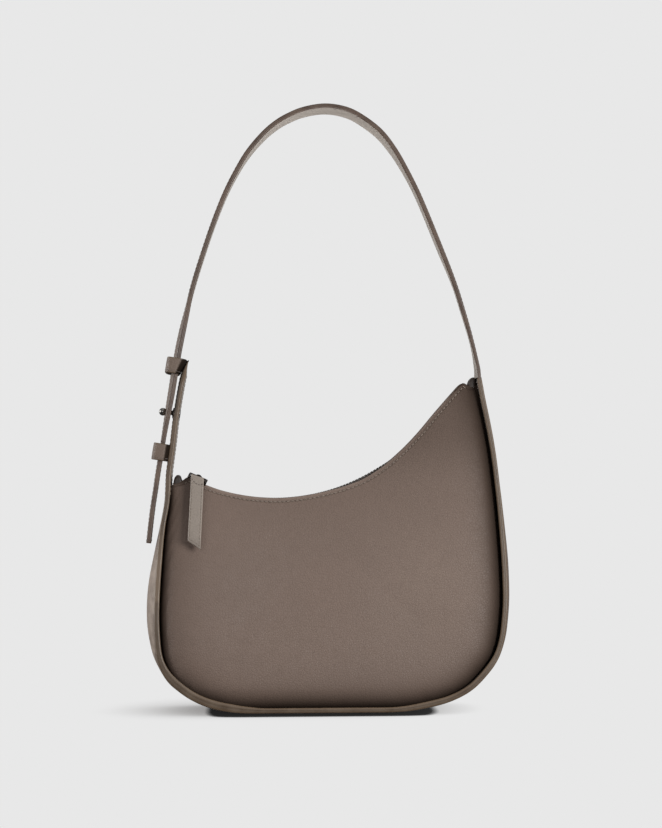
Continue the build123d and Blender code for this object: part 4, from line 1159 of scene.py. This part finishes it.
st = add_mesh("stud_tab_stitching", v, f, [M_THREAD], m_)
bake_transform(st)
# two rows across the band where it holds the strap's root, on both faces
e = len(LINE) - 3
for di in (0, 3):
    i = e - di
    for o, sg in ((0.03, 1), (-BAND_T - 0.03, -1)):
        y = np.linspace(-HY[i] + 2.7, HY[i] - 2.7, 9)
        P = np.stack([np.full(9, LINE[i, 0] + LN[i, 0] * o), y, np.full(9, LINE[i, 1] + LN[i, 1] * o)], 1)
        Q, T = along(P, 2.9)
        Nn = np.tile(np.array([LN[i, 0], 0, LN[i, 1]]) * sg, (len(Q), 1))
        parts_band.append((*stitches(Q, T, Nn, 2.3, 0.38, 0.0), 0))
v, f, m_ = merge(parts_band)
st = add_mesh("gusset_stitching", v, f, [M_THREAD], m_)
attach(st, "bag")


# ------------------------------------------------------------------ keepers
def strap_at(z):
    kk = np.where((SP[:, 0] < -60))[0]
    i = kk[np.argmin(np.abs(SP[kk, 1] - z))]
    return i


def keeper(name, z, x_in, x_out, node, lean=0.0, H=14.0):
    """Loop round the strap: superellipse path across the strap, h along it."""
    i = strap_at(z)
    C = np.array([SP[i, 0], 0, SP[i, 1]])
    out = np.array([SN[i, 0], 0, SN[i, 1]])
    upv = -np.array([ST_[i, 0], 0, ST_[i, 1]])
    TH = 1.75
    cx, rx, ry = (x_out + x_in) / 2, (x_out - x_in) / 2, 14.2
    n = 72
    a = np.arange(n) * 2 * math.pi / n
    e = 0.42
    px = cx + rx * np.sign(np.cos(a)) * np.abs(np.cos(a)) ** e
    py = ry * np.sign(np.sin(a)) * np.abs(np.sin(a)) ** e
    # outward normal of the path
    tx, ty = np.roll(px, -1) - np.roll(px, 1), np.roll(py, -1) - np.roll(py, 1)
    ln = np.hypot(tx, ty)
    nx, ny = ty / ln, -tx / ln
    prof = [(-H / 2 + 0.7, 0), (-H / 2 + 0.15, 0.2), (-H / 2, 0.75), (-H / 2, TH - 0.6), (-H / 2 + 0.2, TH - 0.12), (-H / 2 + 0.8, TH),
            (-2.0, TH + 0.1), (2.0, TH + 0.1), (H / 2 - 0.8, TH), (H / 2 - 0.2, TH - 0.12), (H / 2, TH - 0.6), (H / 2, 0.75), (H / 2 - 0.15, 0.2), (H / 2 - 0.7, 0), (2.0, 0), (-2.0, 0)]
    V = []
    inner = smooth01((cx - px) / rx * 0.9 + 0.1)
    for h, d in prof:
        V.append(C + np.outer(px + nx * d - inner * lean * h / (H / 2), out) + np.outer(py + ny * d, uy) + h * upv)
    V = np.stack(V, 1)
    # painted shade on the end of the loop that faces the tab, and on the whole inner face
    dark = np.repeat(0.97 * smooth01((-nx - 0.18) / 0.40), len(prof)).reshape(n, len(prof))
    dark[:, 13:] = 0.8
    F = quads(n, len(prof), close_u=True, close_v=True)
    jj = np.tile(np.arange(len(prof)), n)
    fm = np.where(((jj >= 0) & (jj <= 4)) | ((jj >= 8) & (jj <= 12)), 1, np.where(jj >= 13, 2, 0))
    ob = add_mesh(name, V.reshape(-1, 3), F, [M_BAND, M_EDGE, M_INNER], fm, wear_and_highlight=np.full(n * len(prof), 0.1),
                  shade=dark.ravel())
    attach(ob, "strap")
    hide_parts(node)
    parts = []
    for h in (-H / 2 + 2.0,):
        L = C + np.outer(px + nx * (TH + 0.03) - inner * lean * h / (H / 2), out) \
            + np.outer(py + ny * (TH + 0.03), uy) + h * upv
        L = np.vstack([L, L[:1]])
        Q, T = along(L, 3.2)
        s1 = arclen(L)
        q = np.linspace(0, s1[-1], len(Q))
        nn = np.outer(nx, out) + np.outer(ny, uy)
        nn = np.vstack([nn, nn[:1]])
        Nn = np.stack([np.interp(q, s1, nn[:, c]) for c in range(3)], 1)
        Nn /= np.linalg.norm(Nn, axis=1)[:, None]
        parts.append((*stitches(Q[:-1], T[:-1], Nn[:-1], 2.3, 0.24, 0.0), 0))
    v, f, m_ = merge(parts)
    st = add_mesh(name + "_stitching", v, f, [M_THREAD_D], m_)
    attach(st, "strap")


def tab_gap(z):
    """Distance from the strap's outer face line to the stud tab's outer face, at height z."""
    i = strap_at(z)
    k = np.argmin(np.where(LINE[:, 0] < -60, np.abs(LINE[:, 1] - z), 1e9))
    return abs(LINE[k, 0] - SP[i, 0])


keeper("keeper_upper_loop", 259.1, -tab_gap(256) + 1.6, 4.0, "keeper_upper", 2.4, 12.0)
keeper("keeper_lower_loop", 194.1, -tab_gap(193.6) + 1.7, 3.4, "keeper_lower", 0.0, 12.8)


# ------------------------------------------------------------------ stud
def lathe(name, prof, O, axis, mat, n=40):
    axis = axis / np.linalg.norm(axis)
    a_ = np.cross(axis, [0, 1, 0.0])
    a_ /= np.linalg.norm(a_)
    b_ = np.cross(axis, a_)
    ang = np.arange(n) * 2 * math.pi / n
    V = []
    for h, r in prof:
        V.append(O + axis * h + r * (np.outer(np.cos(ang), a_) + np.outer(np.sin(ang), b_)))
    V = np.stack(V, 0)
    F = quads(len(prof), n, close_v=True)
    return add_mesh(name, V.reshape(-1, 3), F, [mat])


SA = np.array([-0.9925, 0, 0.122])
SO = np.array([-114.65, 0, 224.0])
prof = [(0.2, 0.01), (0.2, 3.7), (0.35, 3.95), (0.8, 4.05), (1.25, 3.9), (1.5, 3.3), (1.62, 2.3), (1.9, 1.85), (2.6, 1.75), (5.9, 1.72), (6.2, 1.8)]
th = np.linspace(math.radians(142), 0, 22)
prof += [(8.9 + 2.95 * math.cos(t), max(0.01, 2.95 * math.sin(t))) for t in th]
stud = lathe("ball_stud", prof, SO, SA, M_CHROME, 48)
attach(stud, "strap")
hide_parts("stud_head")
prof = [(-2.0, 1.4), (-3.6, 1.5), (-3.7, 3.3), (-3.9, 3.5), (-4.15, 3.45), (-4.32, 3.0), (-4.4, 2.0), (-4.4, 0.9),
        (-4.2, 0.8), (-4.2, 0.01)]
scr = lathe("stud_screw_head", prof[::-1], SO, SA, M_STEEL, 40)
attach(scr, "strap")
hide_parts("stud_screw")

# ------------------------------------------------------------------ leather over the zip's ends
def end_lump(name, node, outline, half_y):
    """A folded leather end: a closed outline in XZ, pillowed towards its two sides."""
    C = catmull(np.array(outline + outline[:1]), 6)[:-1]
    cen = np.array([C[:, 0].mean(), C[:, 1].min() * 0.55 + C[:, 1].mean() * 0.45])
    ys = np.array([-1.0, -0.985, -0.93, -0.8, -0.5, -0.12, 0.0, 0.12, 0.5, 0.8, 0.93, 0.985, 1.0])
    ks = np.array([0.30, 0.72, 0.90, 0.97, 1.0, 1.0, 0.965, 1.0, 1.0, 0.97, 0.90, 0.72, 0.30])
    V = np.stack([np.stack([cen[0] + (C[:, 0] - cen[0]) * k, np.full(len(C), y * half_y),
                            cen[1] + (C[:, 1] - cen[1]) * k], 1) for y, k in zip(ys, ks)], 0)
    m = len(C)
    F = quads(len(ys), m, close_v=True)
    # painted shade over the whole lump, darker towards its lower part
    shade = np.tile(0.66 + 0.28 * smooth01((cen[1] + 5.0 - C[:, 1]) / 4.0), (len(ys), 1))
    ob = add_mesh(name, V.reshape(-1, 3), F[:, ::-1], [M_EDGE_D], wear_and_highlight=np.full(len(ys) * m, 0.05), shade=shade.ravel())
    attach(ob, "bag")
    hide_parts(node)
    return ob


end_lump("zip_end_left", "zip_end_tab_left", [(-104.8, 165.5), (-115.0, 164.0), (-115.3, 170.0), (-114.6, 174.6), (-112.6, 177.2),
                                              (-110.2, 176.6), (-108.8, 173.4), (-107.2, 170.6), (-104.6, 169.2)], 6.6)
end_lump("zip_end_right", "zip_end_tab_right", [(106.4, 238.0), (106.8, 243.5), (108.4, 246.6), (109.8, 249.9), (112.0, 251.7),
                                                (113.8, 250.8), (114.2, 246.0), (114.2, 238.0)], 6.6)

# punched holes of the strap: a pressed rim round a shallow well painted near black, painted shade in place of the
# hole's depth
wells = []
for zh in (286.8, 311.8, 174.8, 149.8):
    i = strap_at(zh)
    for o, sg in ((0.17, 1), (-S_T - 0.09, -1)):
        c = strap_point(np.array([float(i)]), np.array([0.0]), np.array([o]))[0]
        c2 = strap_point(np.array([float(i)]), np.array([0.0]), np.array([o + sg]))[0]
        nn = (c2 - c) / np.linalg.norm(c2 - c)
        a1 = np.cross(nn, uy)
        a1 /= np.linalg.norm(a1)
        b1 = np.cross(nn, a1)
        ang = np.arange(28) * 2 * math.pi / 28
        ring_ = np.outer(np.cos(ang), a1) + np.outer(np.sin(ang), b1)
        prof = [(2.45, -0.12), (2.3, 0.03), (2.05, 0.05), (1.9, -0.02), (1.8, -0.1), (0.01, -0.12)]
        V = np.vstack([c + r_ * ring_ + h_ * nn for r_, h_ in prof])
        F = quads(len(prof), 28, close_v=True)
        wells.append((V, F if sg < 0 else F[:, ::-1], np.repeat([0, 0, 0, 1, 1], 28)))
v, f, m_ = merge(wells)
ob = add_mesh("strap_holes", v, f, [M_EDGE_D, M_HOLE_SHADE], m_)
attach(ob, "strap")

# ------------------------------------------------------------------ inside pieces keep their CAD shape
for node, mat in (("front_lining", M_LINING), ("back_lining", M_LINING), ("gusset_lining", M_LINING),
                  ("slip_pocket", M_LINING), ("front_edge_facing", M_INNER), ("back_edge_facing", M_INNER),
                  ("base_board", M_BOARD)):
    ob = frame["nodes"][node]
    for s in ob.material_slots:
        s.material = mat

# ------------------------------------------------------------------ stage, light, camera
def stage_mat(name, col, rough=0.9):
    m, nt, b = mat_base(name)
    b.inputs["Base Color"].default_value = (*col, 1)
    b.inputs["Roughness"].default_value = rough
    b.inputs["Specular IOR Level"].default_value = 0.1
    return m


BACK = 0.807                                  # pale grey of the backdrop


def floor_mat():
    """Pale floor of the backdrop's own grey, shown as emission; its shadow is painted from ambient occlusion: darker
    where something stands close over it, most on the left.
    """
    m, nt, b = mat_base("floor")
    nt.nodes.remove(b)
    # painted shadow: ambient occlusion, sampled towards the upper right, darkens the floor's emitted grey
    ao = N(nt, "ShaderNodeAmbientOcclusion", samples=24)
    ao.inputs["Distance"].default_value = 0.085
    nv_ = N(nt, "ShaderNodeCombineXYZ")
    for k, v_ in enumerate((0.62, -0.22, 0.75)):
        nv_.inputs[k].default_value = v_
    nt.links.new(nv_.outputs[0], ao.inputs["Normal"])
    c = ramp(nt, ao.outputs["AO"], AO_LO, AO_HI, 0.0, 1.0)
    pw = N(nt, "ShaderNodeMath", operation="POWER")
    pw.inputs[1].default_value = AO_POW
    nt.links.new(c, pw.inputs[0])
    # a thin painted contact shadow where the base touches the floor
    ao2 = N(nt, "ShaderNodeAmbientOcclusion", samples=24)
    ao2.inputs["Distance"].default_value = 0.0065
    line = ramp(nt, ao2.outputs["AO"], 0.50, 0.84, 0.05, 1.0)
    shade = mix_col(nt, pw.outputs[0], (0.060, 0.048, 0.040), (BACK, BACK, BACK))
    dark = N(nt, "ShaderNodeVectorMath", operation="SCALE")
    nt.links.new(shade, dark.inputs[0])
    nt.links.new(line, dark.inputs["Scale"])
    em = N(nt, "ShaderNodeEmission", Strength=1.0)
    nt.links.new(dark.outputs[0], em.inputs["Color"])
    # what the bag itself receives from the floor is a plain matt bounce
    dim = N(nt, "ShaderNodeBsdfDiffuse")
    dim.inputs["Color"].default_value = (0.30, 0.30, 0.30, 1)
    lp = N(nt, "ShaderNodeLightPath")
    mx2 = N(nt, "ShaderNodeMixShader")
    nt.links.new(lp.outputs["Is Camera Ray"], mx2.inputs[0])
    nt.links.new(dim.outputs[0], mx2.inputs[1])
    nt.links.new(em.outputs[0], mx2.inputs[2])
    out = [n for n in nt.nodes if n.type == "OUTPUT_MATERIAL"][0]
    nt.links.new(mx2.outputs[0], out.inputs[0])
    return m


# ramp and power of the floor's painted shadow
AO_LO, AO_HI, AO_POW = 0.0, 0.76, 0.64
a_ = np.linspace(0, 2 * math.pi, 64, endpoint=False)
V = np.vstack([np.stack([r * 1000 * np.cos(a_), r * 1000 * np.sin(a_), np.zeros(64)], 1) for r in (0.001, 0.3, 0.8, 6.0)])
floor = add_mesh("floor", V, quads(4, 64, close_v=True), [floor_mat()])
on_bag = bpy.data.collections.new("lit_bag")
for o in bpy.context.scene.objects:
    if o.type == "MESH" and o is not floor:
        on_bag.objects.link(o)


def area(name, loc, target, size, power, size_y=None, col=(1, 1, 1)):
    d = bpy.data.lights.new(name, "AREA")
    d.energy = power
    d.color = col
    d.shape = "RECTANGLE"
    d.size = size
    d.size_y = size_y or size
    o = bpy.data.objects.new(name, d)
    o.location = loc
    v = np.array(target) - np.array(loc)
    from mathutils import Vector
    o.rotation_euler = Vector(v).to_track_quat("-Z", "Y").to_euler()
    bpy.context.scene.collection.objects.link(o)
    return o


for o in (area("key", (1.3, -1.7, 0.45), (0, 0, 0.17), 0.9, 35.0, 0.8),
          area("left_side", (-1.5, 0.16, 0.45), (0, 0, 0.20), 0.7, 15.0, 0.9),
          area("front_fill", (-0.7, -1.8, 0.5), (0, 0, 0.15), 1.0, 5.0),
          area("top", (0.2, 0.0, 1.7), (0, 0, 0.1), 0.9, 5.0)):
    o.light_linking.receiver_collection = on_bag
# light that comes up from the pale floor onto the underside of the strap
on_strap = bpy.data.collections.new("lit_strap")
for o in (strap, st_strap):
    on_strap.objects.link(o)
up = area("floor_bounce", (0.0, -0.12, 0.10), (0, 0, 0.44), 0.5, 0.85)
up.light_linking.receiver_collection = on_strap
up.light_linking.blocker_collection = on_strap
up.visible_camera = False
up.data.spread = math.radians(95)
wd = bpy.data.worlds.new("studio")
bpy.context.scene.world = wd
wd.use_nodes = True
wnt = wd.node_tree
bg = wnt.nodes["Background"]
bg.inputs[0].default_value = (1, 1, 1, 1)
bg.inputs[1].default_value = 0.30
bg2 = wnt.nodes.new("ShaderNodeBackground")
bg2.inputs[0].default_value = (BACK, BACK, BACK, 1)
bg2.inputs[1].default_value = 1.0
lp = wnt.nodes.new("ShaderNodeLightPath")
mxw = wnt.nodes.new("ShaderNodeMixShader")
wnt.links.new(lp.outputs["Is Camera Ray"], mxw.inputs[0])
wnt.links.new(bg.outputs[0], mxw.inputs[1])
wnt.links.new(bg2.outputs[0], mxw.inputs[2])
wo = [n for n in wnt.nodes if n.type == "OUTPUT_WORLD"][0]
wnt.links.new(mxw.outputs[0], wo.inputs[0])
bpy.context.scene.view_settings.view_transform = "Standard"
bpy.context.scene.view_settings.look = "None"

cam_d = bpy.data.cameras.new("camera")
cam_d.sensor_width = 36.0
cam_d.lens = 67.57
cam_d.clip_start = 0.01
cam_o = bpy.data.objects.new("camera", cam_d)
bpy.context.scene.collection.objects.link(cam_o)
from mathutils import Vector as MV
YAW, PITCH = math.radians(3.0), math.atan((474 - 414) / (1150 / 0.74))
cam_o.location = (-0.05797, -1.18054, 0.178)
fwd_c = MV((math.sin(YAW) * math.cos(PITCH), math.cos(YAW) * math.cos(PITCH), math.sin(PITCH)))
cam_o.rotation_euler = fwd_c.to_track_quat("-Z", "Y").to_euler()
bpy.context.scene.camera = cam_o
